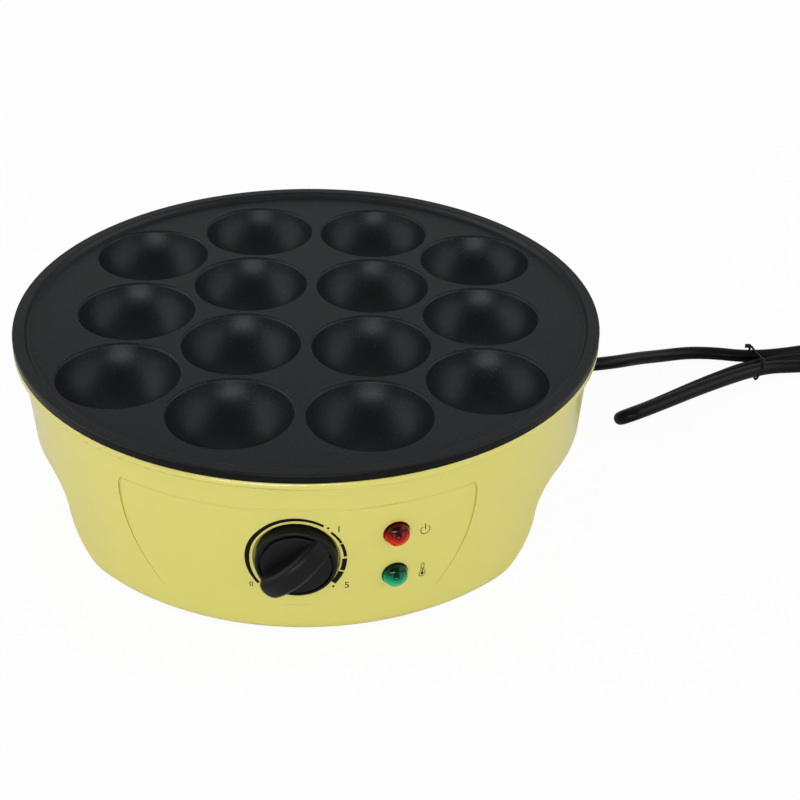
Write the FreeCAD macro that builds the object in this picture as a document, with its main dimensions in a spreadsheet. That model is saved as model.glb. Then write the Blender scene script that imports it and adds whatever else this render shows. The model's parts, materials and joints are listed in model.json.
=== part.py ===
import FreeCAD, Part
import math
import os

import Sketcher
from FreeCAD import Vector

# A round countertop takoyaki maker: a cast plate with fourteen cups on a tapered
# shell, a thermostat dial and two lamps at the front, and a mains cord.
# Millimetres, +Z up. The counter is z = 0. The origin is on the counter under the
# middle of the appliance, measured over the shell's lip and the dial knob.
# Every piece is drawn about the shell's own axis and then moved back by axis_shift.

doc = FreeCAD.newDocument("takoyaki_maker")

SIZES = {
    # cooking plate
    "plate_radius": 125.6, "plate_level": 80.5, "plate_floor": 3.2, "rim_height": 2.4,
    "rim_width": 4.8, "rim_slope": 1.4, "rim_round": 0.8, "rim_root": 1.6,
    "flange_drop": 1.2, "seat_gap": 0.4, "cup_mouth": 25.1, "cup_depth": 21.0,
    "cup_lip": 1.4, "cup_lip_slope": 15.0, "cup_wall": 2.5, "row_pitch": 53.6,
    "middle_pitch": 54.6, "outer_pitch": 47.3, "post_radius": 4.2, "boss_lean": 35.0,
    "boss_steep": 65.0,
    # shell
    "shell_wall": 2.2, "shell_taper": 3.4, "shell_gap": 1.5, "lip_proud": 0.1,
    "lip_overhang": 3.2, "lip_height": 3.6, "lip_round": 1.2, "foot_round": 6.0,
    "grip_half": 71.2, "grip_top": 39.7, "grip_corner": 12.5, "web_offset": 88.4,
    "core_inset": 6.0,
    # front panel and dial
    "panel_top": 65.0, "panel_bottom": 12.0, "panel_top_half": 69.0,
    "panel_bottom_half": 51.0, "panel_corner": 7.0, "panel_flank": 65.0,
    "panel_depth": 0.6, "ledge_tall": 2.6, "ledge_over": 0.1, "facet_bottom": 16.5,
    "dial_half": 12.0, "dial_height": 39.6, "dial_tilt": 1.7, "dial_pad_half": 20.0,
    "dial_pad_wall": 5.0, "well_radius": 16.5, "well_depth": 3.0, "well_bevel": 0.9,
    "well_bevel_deep": 1.1,
    # knob and thermostat
    "knob_radius": 15.8, "knob_back": 2.2, "knob_front": 3.5, "knob_round": 1.0,
    "knob_ring": 1.4, "knob_groove": 1.0, "knob_groove_deep": 1.8, "knob_face": 4.0,
    "knob_face_round": 0.4, "grip_reach": 11.7, "grip_crown": 24.0, "grip_lean": 4.0,
    "grip_width": 10.0, "grip_nose": 15.8, "grip_tail": 14.6, "grip_round": 2.6,
    "grip_nose_round": 4.4, "knob_bore_deep": 8.6, "shaft_radius": 3.0,
    "shaft_gap": 0.05, "shaft_flat": 1.0, "clip_wall": 0.5, "off_angle": -130.0,
    "thermostat_width": 30.0, "thermostat_tall": 18.0, "thermostat_deep": 17.0,
    "bracket_sheet": 1.2, "dial_screw_radius": 1.6, "dial_screw_offset": 10.5,
    "dial_screw_length": 7.0,
    # lamps
    "lamp_swing": 18.4, "lamp_height": 38.8, "lamp_rise": 10.3, "lens_radius": 5.2,
    "lens_proud": 1.2, "lens_dome": 4.3, "lens_flange": 6.6, "lamp_tube": 3.6,
    "lamp_tube_long": 14.0,
    # heating element, reflector and fixings
    "element_top_width": 5.6, "element_bottom_width": 4.0, "element_tall": 5.0,
    "element_gap": 0.3, "element_opening": 34.0, "pin_radius": 2.0, "pin_drop": 17.0,
    "bead_radius": 4.6, "bead_tall": 6.0, "strap_width": 10.0, "strap_sheet": 1.2,
    "spacer_tall": 4.5, "reflector_sheet": 0.8, "reflector_radius": 97.0,
    "reflector_rim": 5.0, "reflector_flare": 3.5, "screw_radius": 2.0,
    "thread_gap": 0.05, "hole_gap": 0.3, "head_radius": 3.6, "head_tall": 1.6,
    "stud_long": 9.0, "rod_radius": 4.0, "base_thread": 12.0, "thread_spare": 2.5,
    # base
    "base_sheet": 2.5, "base_lift": 2.3, "base_gap": 0.4, "boss_radius": 4.5,
    "boss_swing": 27.0, "boss_tall": 24.0, "foot_radius": 8.0, "foot_x": 62.0,
    "foot_y": 66.0, "vent_long": 34.0, "vent_wide": 3.0, "vent_pitch": 8.0,
    # cord, strain relief and plug
    "cord_radius": 3.3, "cord_y": 60.5, "cord_z": 19.6, "relief_long": 26.0,
    "relief_root": 5.6, "relief_tip": 4.2, "relief_flange": 7.0, "flange_sheet": 1.8,
    "neck_gap": 0.2, "plug_radius": 18.4, "plug_long": 30.0, "plug_neck_long": 24.0,
    "plug_pin_radius": 2.4, "plug_pin_long": 19.0, "plug_pin_pitch": 19.0,
    "tie_wire": 0.8, "tie_width": 2.4, "tie_swing": 14.0,
    # inside wiring
    "block_x": 56.0, "block_long": 30.0, "block_wide": 16.0, "block_tall": 20.0,
    "clamp_x": 74.0, "clamp_width": 8.0, "clamp_long": 24.0, "lead_radius": 1.2,
}

sheet = doc.addObject("Spreadsheet::Sheet", "Sizes")
for row, (alias, value) in enumerate(SIZES.items(), 1):
    sheet.set("A%d" % row, alias)
    sheet.set("B%d" % row, str(value))
    sheet.setAlias("B%d" % row, alias)
doc.recompute()


class Size:
    """A number together with the sheet expression that drives it."""

    def __init__(self, number, text):
        self.number = number
        self.text = text

    def __add__(self, other):
        other = size(other)
        return Size(self.number + other.number, "(%s + %s)" % (self.text, other.text))

    def __sub__(self, other):
        other = size(other)
        return Size(self.number - other.number, "(%s - %s)" % (self.text, other.text))

    def __mul__(self, other):
        other = size(other)
        return Size(self.number * other.number, "(%s * %s)" % (self.text, other.text))

    def __truediv__(self, other):
        other = size(other)
        return Size(self.number / other.number, "(%s / %s)" % (self.text, other.text))

    def __rsub__(self, other):
        return size(other) - self

    def __neg__(self):
        return Size(-self.number, "(-1 * %s)" % self.text)

    __radd__ = __add__
    __rmul__ = __mul__


def size(value):
    return value if isinstance(value, Size) else Size(float(value), "(%r)" % float(value))


def root(value):
    return Size(math.sqrt(value.number), "sqrt(%s)" % value.text)


def trig(name, angle):
    angle = size(angle)
    number = getattr(math, name)(math.radians(angle.number))
    return Size(number, "%s(%s)" % (name, angle.text))


class Dimensions:
    """The sheet's cells as Size attributes."""


s = Dimensions()
for alias, value in SIZES.items():
    setattr(s, alias, Size(value, "Sizes.%s" % alias))

# ---- levels and places that several pieces share ----

seat_level = s.plate_level - s.flange_drop            # top of the lip, under the flange
plate_under = s.plate_level - s.plate_floor
lip_under = seat_level - s.lip_height
shell_drop = lip_under - s.shell_gap                  # height of the tapered wall
lip_radius = s.plate_radius + s.lip_proud
shell_top_radius = lip_radius - s.lip_overhang
shell_foot_radius = shell_top_radius - shell_drop * trig("tan", s.shell_taper)
core_radius = shell_foot_radius - s.core_inset
base_top = s.base_lift + s.base_sheet
ledge_foot = s.panel_top - s.ledge_tall


def wall_radius(level):
    """The tapered wall's outer radius at a level."""
    return shell_foot_radius + (level - s.shell_gap) * trig("tan", s.shell_taper)


def panel_radius(level):
    """The front panel sinks into the wall evenly, from nothing at its lower end."""
    return wall_radius(level) - s.panel_depth * (level - s.panel_bottom) / (
        ledge_foot - s.panel_bottom)


dial_wall = panel_radius(s.dial_height)
dial_front = root(dial_wall * dial_wall - s.dial_half * s.dial_half)
knob_reach = dial_front + s.grip_reach
axis_shift = (knob_reach - lip_radius) / 2

cup_ball = (s.cup_mouth * s.cup_mouth + s.cup_depth * s.cup_depth) / (s.cup_depth * 2)
cup_centre = s.plate_level - s.cup_depth + cup_ball
boss_ball = cup_ball + s.cup_wall
middle_x = s.middle_pitch / 2
outer_x = middle_x + s.outer_pitch
inner_cup_ring = root(middle_x * middle_x + s.row_pitch * s.row_pitch / 4)
element_ring = (inner_cup_ring + outer_x) / 2
element_reach = element_ring - s.element_top_width / 2 - inner_cup_ring
element_top = (cup_centre - boss_ball / trig("cos", s.boss_lean)
               + element_reach * trig("tan", s.boss_lean) - s.element_gap)
element_under = element_top - s.element_tall
strap_under = element_under - s.strap_sheet
reflector_top = strap_under - s.spacer_tall
reflector_under = reflector_top - s.reflector_sheet
# A post stands where it is as far from the outer cup as from the two beside it.
post_x = outer_x - (s.outer_pitch * s.outer_pitch + s.row_pitch * s.row_pitch / 4) / (
    s.outer_pitch * 2)
boss_reach = core_radius - s.shell_wall - s.base_gap - s.boss_radius - 2
shaft_hole = s.shaft_radius + 2.0
web_inside = s.web_offset - s.shell_wall
base_screw_long = s.base_sheet + s.base_thread - s.thread_spare

# ---- small helpers ----


def at(x=0, y=0, z=0, turn=0, tip=0, roll=0):
    """Placement text: turned about Z, then tipped about X and rolled about Y."""
    x, y, z, turn, tip, roll = (size(value).text for value in (x, y, z, turn, tip, roll))
    place = "vector(%s; %s; %s)" % (x, y, z)
    spin = "rotation(vector(0; 0; 1); %s)" % turn
    lean = "rotation(vector(1; 0; 0); %s)" % tip
    bank = "rotation(vector(0; 1; 0); %s)" % roll
    return "placement(%s; %s * %s * %s)" % (place, spin, lean, bank)


def solid(kind, name, place, **values):
    """A Part primitive whose sizes and place follow the sheet."""
    item = doc.addObject("Part::" + kind, name)
    for field, value in values.items():
        item.setExpression(field, size(value).text)
    item.setExpression("Placement", place)
    return item


def cylinder(name, radius, length, place):
    return solid("Cylinder", name, place, Radius=radius, Height=length)


def box(name, across, deep, tall, x, y, z, place=None):
    """A box centred on x and y that rises from z, in its own frame."""
    item = doc.addObject("Part::Box", name)
    for field, value in (("Length", across), ("Width", deep), ("Height", tall)):
        item.setExpression(field, size(value).text)
    corner = at(size(x) - size(across) / 2, size(y) - size(deep) / 2, z)
    item.setExpression("Placement", corner if place is None else place + " * " + corner)
    return item


def cut(name, base, *tools):
    item = doc.addObject("Part::Cut", name)
    item.Base = base
    item.Tool = tools[0] if len(tools) == 1 else join(name + "_tools", *tools)
    return item


def join(name, *shapes):
    item = doc.addObject("Part::MultiFuse", name)
    item.Shapes = list(shapes)
    return item


def common(name, one, other):
    item = doc.addObject("Part::MultiCommon", name)
    item.Shapes = [one, other]
    return item


def outline(body, name, role, corners):
    """A closed sketch. A corner is (x, y), or (x, y, bend) after an arc of that
    radius, turning left where bend is positive and right where it is negative."""
    sketch = body.newObject("Sketcher::SketchObject", name)
    plane = [item for item in body.Origin.OriginFeatures if item.Role == role][0]
    sketch.AttachmentSupport = [(plane, "")]
    sketch.MapMode = "FlatFace"
    corners = [tuple(size(value) for value in corner) for corner in corners]
    ends = []
    for before, corner in zip(corners[-1:] + corners[:-1], corners):
        start = Vector(before[0].number, before[1].number, 0)
        stop = Vector(corner[0].number, corner[1].number, 0)
        if len(corner) == 2:
            edge = sketch.addGeometry(Part.LineSegment(start, stop), False)
            ends.append((edge, 1, 2))
            continue
        radius = abs(corner[2].number)
        side = 1 if corner[2].number > 0 else -1
        chord = stop - start
        rise = math.sqrt(max(radius ** 2 - chord.Length ** 2 / 4, 0))
        left = Vector(-chord.y, chord.x, 0).normalize()
        centre = (start + stop) / 2 + left * rise * side
        angles = [math.atan2(p.y - centre.y, p.x - centre.x) for p in (start, stop)]
        first, last = angles if side > 0 else angles[::-1]
        circle = Part.Circle(centre, Vector(0, 0, 1), radius)
        edge = sketch.addGeometry(Part.ArcOfCircle(circle, first, last), False)
        ends.append((edge, 1, 2) if side > 0 else (edge, 2, 1))
    for index, (corner, (edge, first, last)) in enumerate(zip(corners, ends)):
        following = ends[(index + 1) % len(ends)]
        sketch.addConstraint(
            Sketcher.Constraint("Coincident", edge, last, following[0], following[1]))
        for kind, value in (("DistanceX", corner[0]), ("DistanceY", corner[1])):
            fixed = sketch.addConstraint(
                Sketcher.Constraint(kind, -1, 1, edge, last, value.number))
            sketch.setExpression("Constraints[%d]" % fixed, value.text)
        if len(corner) == 3:
            fixed = sketch.addConstraint(
                Sketcher.Constraint("Radius", edge, abs(corner[2].number)))
            sign = corner[2].text if corner[2].number > 0 else (-corner[2]).text
            sketch.setExpression("Constraints[%d]" % fixed, sign)
    return sketch


def lathe(name, corners, role="XZ_Plane", angle=360):
    """A body turned about the sketch's upright axis."""
    body = doc.addObject("PartDesign::Body", name)
    sketch = outline(body, name + "_profile", role, corners)
    turned = body.newObject("PartDesign::Revolution", name + "_turned")
    turned.Profile = sketch
    turned.ReferenceAxis = (sketch, ["V_Axis"])
    turned.Midplane = True
    turned.setExpression("Angle", size(angle).text)
    sketch.Visibility = False
    doc.recompute()
    return body


def prism(name, role, corners, length, midplane=False, backwards=False):
    """A body padded from a closed outline."""
    body = doc.addObject("PartDesign::Body", name)
    sketch = outline(body, name + "_profile", role, corners)
    pad = body.newObject("PartDesign::Pad", name + "_pad")
    pad.Profile = sketch
    pad.Midplane = midplane
    pad.Reversed = backwards
    pad.setExpression("Length", size(length).text)
    doc.recompute()
    return body


def rounded(body, radius, chosen, kind="Fillet"):
    """Round or bevel the tip's edges for which chosen(edge) is true."""
    tip = body.Tip
    names = ["Edge%d" % (index + 1) for index, edge in enumerate(tip.Shape.Edges)
             if chosen(edge)]
    if not names:
        raise RuntimeError("no edge to round on " + body.Name)
    item = body.newObject("PartDesign::" + kind, body.Name + kind + str(len(body.Group)))
    item.Base = (tip, names)
    item.setExpression("Radius" if kind == "Fillet" else "Size", size(radius).text)
    doc.recompute()
    return item


def ring_edge(radius, level, axis="z"):
    """True for a whole or part circle of that radius about the axis at that level."""
    radius, level = size(radius).number, size(level).number

    def chosen(edge):
        curve = edge.Curve
        return (isinstance(curve, Part.Circle) and abs(curve.Radius - radius) < 0.01
                and abs(getattr(curve.Center, axis) - level) < 0.01)
    return chosen


def tube(name, points, radius):
    """A round tube along straight runs joined by tangent arcs as large as they allow."""
    points = [Vector(*point) for point in points]
    edges = []
    radii = []
    here = points[0]
    for before, corner, after in zip(points, points[1:], points[2:]):
        into = (corner - before).normalize()
        out = (after - corner).normalize()
        short = min(before.distanceToPoint(corner), corner.distanceToPoint(after))
        reach = 0.45 * short
        half_turn = into.getAngle(out) / 2
        radii.append(reach / math.tan(half_turn))
        start = corner - into * reach
        stop = corner + out * reach
        inward = (out - into).normalize()
        middle = corner + inward * (radii[-1] / math.cos(half_turn) - radii[-1])
        edges.append(Part.LineSegment(here, start).toShape())
        edges.append(Part.Arc(start, middle, stop).toShape())
        here = stop
    edges.append(Part.LineSegment(here, points[-1]).toShape())
    path = Part.Wire(edges)
    ring = Part.Circle(points[0], points[1] - points[0], radius.number)
    shape = path.makePipeShell([Part.Wire(ring.toShape())], True, True)
    if shape.Volume < 0:
        shape.reverse()
    section = math.pi * radius.number ** 2
    print("%s: length %.1f, volume/(section x length) %.4f, radii %s" % (
        name, path.Length, shape.Volume / (section * path.Length),
        " ".join("%.0f" % value for value in radii)))
    item = doc.addObject("Part::Feature", name)
    item.Shape = shape
    return item


pieces = {}


def piece(name, item, place=None):
    """Name a finished sub-part and move it back with the shell's axis."""
    item.Label = name
    shift = at(0, axis_shift, 0)
    item.setExpression("Placement", shift if place is None else shift + " * " + place)
    pieces[name] = item
    return item


def group(name, *items):
    """Separate solids that are kept together as one node."""
    item = doc.addObject("Part::Compound", name)
    item.Links = list(items)
    return piece(name, item)


# ---- cooking plate ----

def cup_places():
    """The fourteen cups: two middle columns of four and two outer ones of three."""
    for column, steps in ((middle_x, (-1.5, -0.5, 0.5, 1.5)), (outer_x, (-1, 0, 1))):
        for side in (-1, 1):
            for step in steps:
                yield column * side, s.row_pitch * step


def corner_posts():
    return [(post_x * across, s.row_pitch * along) for across in (-1, 1) for along in (-1, 1)]


def rod_places():
    return [(post_x * across, size(0)) for across in (-1, 1)]


def cooking_plate():
    rim_top = s.plate_level + s.rim_height
    rim_inner = s.plate_radius - s.rim_width
    shoulder = shell_top_radius - s.shell_wall - s.seat_gap
    disc = lathe("plate_disc", [
        (0, plate_under), (shoulder, plate_under), (shoulder, seat_level),
        (s.plate_radius, seat_level), (s.plate_radius, rim_top), (rim_inner, rim_top),
        (rim_inner - s.rim_slope, s.plate_level), (0, s.plate_level)])
    rounded(disc, s.rim_round, ring_edge(s.plate_radius, rim_top))
    rounded(disc, s.rim_round, ring_edge(rim_inner, rim_top))
    rounded(disc, s.rim_root, ring_edge(rim_inner - s.rim_slope, s.plate_level))
    tip = cup_centre - boss_ball
    narrow = boss_ball * trig("tan", s.boss_lean / 2)
    half = (s.boss_steep - s.boss_lean) / 2
    knee = boss_ball / trig("cos", half)
    lean = s.boss_lean + half
    knee_radius = knee * trig("sin", lean)
    knee_level = cup_centre - knee * trig("cos", lean)
    into_plate = plate_under + s.plate_floor / 4
    wide = knee_radius + (into_plate - knee_level) / trig("tan", s.boss_steep)
    solids = [disc]
    hollows = []
    # Each cup is part of a ball whose lip rolls over and meets the face at a low slope.
    lip_centre = s.plate_level - s.cup_lip * trig("cos", s.cup_lip_slope)
    rise = cup_centre - lip_centre
    reach = cup_ball + s.cup_lip
    mouth = root(reach * reach - rise * rise)
    share = cup_ball / reach
    above = s.plate_level + s.rim_height / 2
    for number, (x, y) in enumerate(cup_places(), 1):
        solids.append(solid("Cone", "boss_tip_%d" % number, at(x, y, tip), Radius1=narrow,
                            Radius2=knee_radius, Height=knee_level - tip))
        solids.append(solid("Cone", "boss_%d" % number, at(x, y, knee_level),
                            Radius1=knee_radius, Radius2=wide,
                            Height=into_plate - knee_level))
        hollow = lathe("cup_%d" % number, [
            (0, cup_centre - cup_ball), (mouth * share, cup_centre - rise * share, cup_ball),
            (mouth, lip_centre + s.cup_lip, -s.cup_lip), (mouth, above), (0, above)])
        hollow.setExpression("Placement", at(x, y, 0))
        hollows.append(hollow)
    for number, (x, y) in enumerate(corner_posts() + rod_places(), 1):
        solids.append(cylinder("post_%d" % number, s.post_radius,
                               into_plate - element_under, at(x, y, element_under)))
        hollows.append(cylinder("post_hole_%d" % number, s.screw_radius + s.thread_gap,
                                s.stud_long + 1, at(x, y, element_under)))
    return cut("plate_cast", join("plate_solid", *solids), *hollows)


piece("cooking_plate", cooking_plate())

# ---- heating element and what holds it up ----


def heating_element():
    top_half = s.element_top_width / 2
    low_half = s.element_bottom_width / 2
    ring = lathe("element_ring", [
        (element_ring - low_half, element_under), (element_ring + low_half, element_under),
        (element_ring + top_half, element_top - 1), (element_ring + top_half, element_top),
        (element_ring - top_half, element_top), (element_ring - top_half, element_top - 1)],
        angle=size(360) - s.element_opening)
    ring.setExpression("Placement", at(turn=90))
    return join("element_solid", ring, *[
        cylinder("element_pin_%s" % word, s.pin_radius, s.pin_drop, at(x, y, z))
        for word, (x, y, z) in zip(("left", "right"), pin_places())])


def pin_places():
    """The element's two cold pins hang just inside its open ends, at the front."""
    swing = s.element_opening / 2 + 3
    return [(element_ring * trig("sin", swing) * side,
             -(element_ring * trig("cos", swing)),
             element_under + 1 - s.pin_drop) for side in (-1, 1)]


piece("heating_element", heating_element())


def strap(word, x):
    bar = box("strap_bar_" + word, s.strap_width, s.row_pitch * 2 + s.strap_width,
              s.strap_sheet, x, 0, strap_under)
    holes = [cylinder("strap_hole_%s_%d" % (word, number), s.screw_radius + s.hole_gap,
                      s.strap_sheet * 3, at(x, s.row_pitch * step, strap_under - s.strap_sheet))
             for number, step in enumerate((-1, 0, 1))]
    return cut("strap_" + word, bar, *holes)


group("element_straps", strap("left", -post_x), strap("right", post_x))


def spacer(number, x, y):
    return cut("spacer_%d" % number,
               cylinder("spacer_out_%d" % number, s.post_radius, s.spacer_tall,
                        at(x, y, reflector_top)),
               cylinder("spacer_bore_%d" % number, s.screw_radius + s.hole_gap,
                        s.spacer_tall * 2, at(x, y, reflector_top - 1)))


group("reflector_spacers", *[spacer(number, x, y)
                             for number, (x, y) in enumerate(corner_posts(), 1)])


def screw(name, x, y, head_level, length):
    """A pan-head screw that points up from its head's seat."""
    return join(name,
                cylinder(name + "_head", s.head_radius, s.head_tall,
                         at(x, y, head_level - s.head_tall)),
                cylinder(name + "_shank", s.screw_radius, length + 0.5,
                         at(x, y, head_level - 0.5)))


group("plate_screws", *[screw("plate_screw_%d" % number, x, y, reflector_under,
                              element_under - reflector_under + s.stud_long)
                        for number, (x, y) in enumerate(corner_posts(), 1)])


def heat_reflector():
    rim = s.reflector_radius + s.reflector_flare
    dish = lathe("reflector_dish", [
        (0, reflector_under), (s.reflector_radius, reflector_under),
        (rim, reflector_top + s.reflector_rim), (rim + 3, reflector_top + s.reflector_rim),
        (rim + 3, reflector_top + s.reflector_rim + s.reflector_sheet),
        (rim - s.reflector_sheet, reflector_top + s.reflector_rim + s.reflector_sheet),
        (s.reflector_radius - s.reflector_sheet, reflector_top), (0, reflector_top)])
    holes = [cylinder("dish_hole_%d" % number, radius + s.hole_gap, s.reflector_sheet * 4,
                      at(x, y, reflector_under - s.reflector_sheet))
             for number, (x, y, radius) in enumerate(
                 [(x, y, s.screw_radius) for x, y in corner_posts()]
                 + [(x, y, s.rod_radius) for x, y in rod_places()]
                 + [(x, y, s.bead_radius - 1) for x, y, z in pin_places()], 1)]
    return cut("reflector_sheet", dish, *holes)


piece("heat_reflector", heat_reflector())


def bead(word, x, y, z):
    """A ceramic bead that keeps a pin off the reflector, with a collar above the sheet."""
    return cut("bead_" + word,
               join("bead_solid_" + word,
                    cylinder("bead_collar_" + word, s.bead_radius, s.bead_tall / 2,
                             at(x, y, reflector_top)),
                    cylinder("bead_neck_" + word, s.bead_radius - 1, s.bead_tall,
                             at(x, y, reflector_top - s.bead_tall / 2))),
               cylinder("bead_bore_" + word, s.pin_radius + s.hole_gap, s.bead_tall * 2,
                        at(x, y, reflector_top - s.bead_tall)))


group("element_beads", *[bead(word, x, y, z)
                         for word, (x, y, z) in zip(("left", "right"), pin_places())])


def tie_rod(word, x, y):
    """A round rod from the base up to the strap, with a stud that screws into the plate."""
    rod = lathe("rod_" + word, [
        (s.screw_radius + s.thread_gap, base_top), (s.rod_radius, base_top),
        (s.rod_radius, strap_under), (s.screw_radius, strap_under),
        (s.screw_radius, element_under + s.stud_long),
        (0, element_under + s.stud_long), (0, base_top + s.base_thread),
        (s.screw_radius + s.thread_gap, base_top + s.base_thread)])
    rod.setExpression("Placement", at(x, y, 0))
    return rod


group("tie_rods", *[tie_rod(word, x, y)
                    for word, (x, y) in zip(("left", "right"), rod_places())])
group("rod_screws", *[screw("rod_screw_" + word, x, y, s.base_lift, base_screw_long)
                      for word, (x, y) in zip(("left", "right"), rod_places())])

# ---- shell ----

dial_place = at(0, -dial_front, s.dial_height, tip=s.dial_tilt)


def core(name, radius, half, low, tall):
    """The upright middle of the shell between the two hand grips."""
    return common(name, cylinder(name + "_round", radius, tall, at(0, 0, low)),
                  box(name + "_slab", half * 2, radius * 2, tall, 0, 0, low))


def grip_arch(name, grow):
    """The space under both hand grips, widened by grow. The front and rear aprons
    end in a foot round, and a corner round leads over to the arch's top."""
    floor = s.shell_gap + grow
    top = s.grip_top + grow
    turn = s.grip_corner + grow
    foot = top - turn - floor
    edge = s.grip_half + grow
    heel = edge + foot
    deep = size(-5)
    return prism(name, "YZ_Plane", [
        (-heel, deep), (heel, deep), (heel, floor), (edge, floor + foot, -foot),
        (edge - turn, top, turn), (turn - edge, top), (-edge, top - turn, turn),
        (-heel, floor, -foot)], lip_radius * 3, midplane=True)


def outer_form():
    form = lathe("shell_form", [
        (0, s.shell_gap), (shell_foot_radius, s.shell_gap), (shell_top_radius, lip_under),
        (lip_radius, lip_under), (lip_radius, seat_level), (0, seat_level)])
    rounded(form, s.foot_round, ring_edge(shell_foot_radius, s.shell_gap))
    rounded(form, s.lip_round, ring_edge(lip_radius, seat_level))
    rounded(form, s.lip_round, ring_edge(lip_radius, lip_under))
    # The front panel is let into the wall and ends in a soft ledge above.
    top, low, turn = s.panel_top + 2, s.panel_bottom - 2, s.panel_corner
    wide, narrow, flank = s.panel_top_half, s.panel_bottom_half, s.panel_flank
    window = prism("panel_window", "XZ_Plane", [
        (turn - narrow, low), (narrow - turn, low), (narrow, low + turn / 2, turn),
        (wide, top - turn, flank), (wide - turn, top, turn), (turn - wide, top),
        (-wide, top - turn, turn), (-narrow, low + turn / 2, flank),
        (turn - narrow, low, turn)][:-1], lip_radius * 2)
    foot = panel_radius(ledge_foot)
    out = (wall_radius(s.panel_top) + s.ledge_over - foot) / 2
    rise = s.ledge_tall / 2
    bend = (out * out + rise * rise) / (out * 2)
    within = lathe("panel_within", [
        (0, low - 2), (panel_radius(low - 2), low - 2), (foot, ledge_foot),
        (foot + out, ledge_foot + rise, -bend), (foot + out * 2, s.panel_top, bend),
        (foot + out * 2 + 1, top + 1), (0, top + 1)])
    return cut("panelled_form", form, cut("panel_skin", window, within))


def hollow_form():
    """What is empty inside the shell, open at the top and inside the core below."""
    inner_top = shell_top_radius - s.shell_wall
    floor = s.shell_gap + s.shell_wall
    inner_foot = shell_foot_radius - s.shell_wall + s.shell_wall * trig("tan", s.shell_taper)
    void = lathe("hollow_round", [
        (0, floor), (inner_foot, floor), (inner_top, lip_under),
        (inner_top, seat_level + 5), (0, seat_level + 5)])
    rounded(void, s.foot_round - s.shell_wall, ring_edge(inner_foot, floor))
    inside = join("hollow_all", void, core("hollow_core", core_radius - s.shell_wall,
                                           web_inside, -1, 12))
    grips = cut("grip_backs", grip_arch("grip_outer", s.shell_wall),
                core("grip_core", core_radius - s.shell_wall, web_inside, -10, 80))
    pad = box("dial_pad", s.dial_pad_half * 2, s.dial_pad_wall + 8,
              s.panel_top - s.facet_bottom + 2, 0, s.dial_pad_wall / 2 - 4,
              s.facet_bottom - 2 - s.dial_height, dial_place)
    return cut("hollow", inside, grips, pad)


def screw_boss_places():
    """Four bosses inside the aprons, each ribbed to the wall that it stands against."""
    return [(boss_reach * trig("sin", s.boss_swing) * across,
             boss_reach * trig("cos", s.boss_swing) * along)
            for across in (-1, 1) for along in (-1, 1)]


def lamp_place(side):
    """On the panel's tapered face, at the lamps' swing from the front."""
    level = s.lamp_height + s.lamp_rise * side
    reach = panel_radius(level)
    return at(reach * trig("sin", s.lamp_swing), -(reach * trig("cos", s.lamp_swing)),
              level, turn=s.lamp_swing, tip=s.shell_taper)


def housing_shell():
    form = cut("gripped_form", outer_form(),
               cut("grips", grip_arch("grip_inner", size(0)),
                   core("form_core", core_radius, s.web_offset, -10, 80)))
    shell = cut("bare_shell", form, hollow_form())
    added = []
    removed = []
    for number, (x, y) in enumerate(screw_boss_places(), 1):
        added.append(cylinder("screw_boss_%d" % number, s.boss_radius, s.boss_tall,
                              at(x, y, base_top)))
        turn = s.boss_swing * (-1 if x.number * y.number > 0 else 1)
        turn = turn if y.number > 0 else turn + 180
        length = shell_foot_radius - 1.4 - boss_reach
        added.append(box("boss_rib_%d" % number, 2.0, length, s.boss_tall, 0,
                         boss_reach + length / 2, base_top, at(turn=turn)))
        removed.append(cylinder("boss_hole_%d" % number, s.screw_radius + s.thread_gap,
                                s.base_thread, at(x, y, base_top)))
    floor = s.well_depth
    removed.append(cylinder("dial_well", s.well_radius, floor + 5,
                            dial_place + " * " + at(0, -5, 0, tip=-90)))
    removed.append(solid("Cone", "well_edge", dial_place + " * " + at(tip=-90),
                         Radius1=s.well_radius + s.well_bevel, Radius2=s.well_radius,
                         Height=s.well_bevel_deep))
    removed.append(cylinder("shaft_opening", shaft_hole, s.dial_pad_wall + 6,
                            dial_place + " * " + at(0, -3, 0, tip=-90)))
    for word, side in (("left", -1), ("right", 1)):
        x = s.dial_screw_offset * side
        removed.append(cylinder("dial_hole_" + word, s.dial_screw_radius + s.hole_gap,
                                s.dial_pad_wall + 6,
                                dial_place + " * " + at(x, -3, 0, tip=-90)))
        removed.append(solid("Cone", "dial_sink_" + word,
                             dial_place + " * " + at(x, floor, 0, tip=-90),
                             Radius1=s.dial_screw_radius * 2,
                             Radius2=s.dial_screw_radius + s.hole_gap, Height=1.4))
    for word, side in (("low", -1), ("high", 1)):
        removed.append(cylinder("lamp_hole_" + word, s.lens_radius + s.neck_gap, 16,
                                lamp_place(side) + " * " + at(0, -8, 0, tip=-90)))
    removed.append(cylinder("cord_hole", s.relief_root + s.neck_gap, s.shell_wall * 4,
                            at(web_inside - s.shell_wall, s.cord_y, s.cord_z, roll=90)))
    facet = box("dial_facet", s.dial_pad_half * 2, 20, s.panel_top - s.facet_bottom,
                0, -10, s.facet_bottom - s.dial_height, dial_place)
    return cut("shell_cut", join("shell_joined", cut("faceted", shell, facet), *added),
               *removed)


piece("housing_shell", housing_shell())

# ---- base ----


def base_cover():
    plate = core("base_plate", core_radius - s.shell_wall - s.base_gap,
                 web_inside - s.base_gap, s.base_lift, s.base_sheet)
    holes = [cylinder("base_hole_%d" % number, s.screw_radius + s.hole_gap,
                      s.base_sheet * 3, at(x, y, 0))
             for number, (x, y) in enumerate(screw_boss_places() + rod_places(), 1)]
    vents = [box("vent_%d_%d" % (side, step), s.vent_long, s.vent_wide, s.base_sheet * 3,
                 0, s.foot_y / 2 * side + s.vent_pitch * step, 0)
             for side in (-1, 1) for step in (-2, -1, 0, 1, 2)]
    return cut("base_cut", plate, *(holes + vents))


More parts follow.
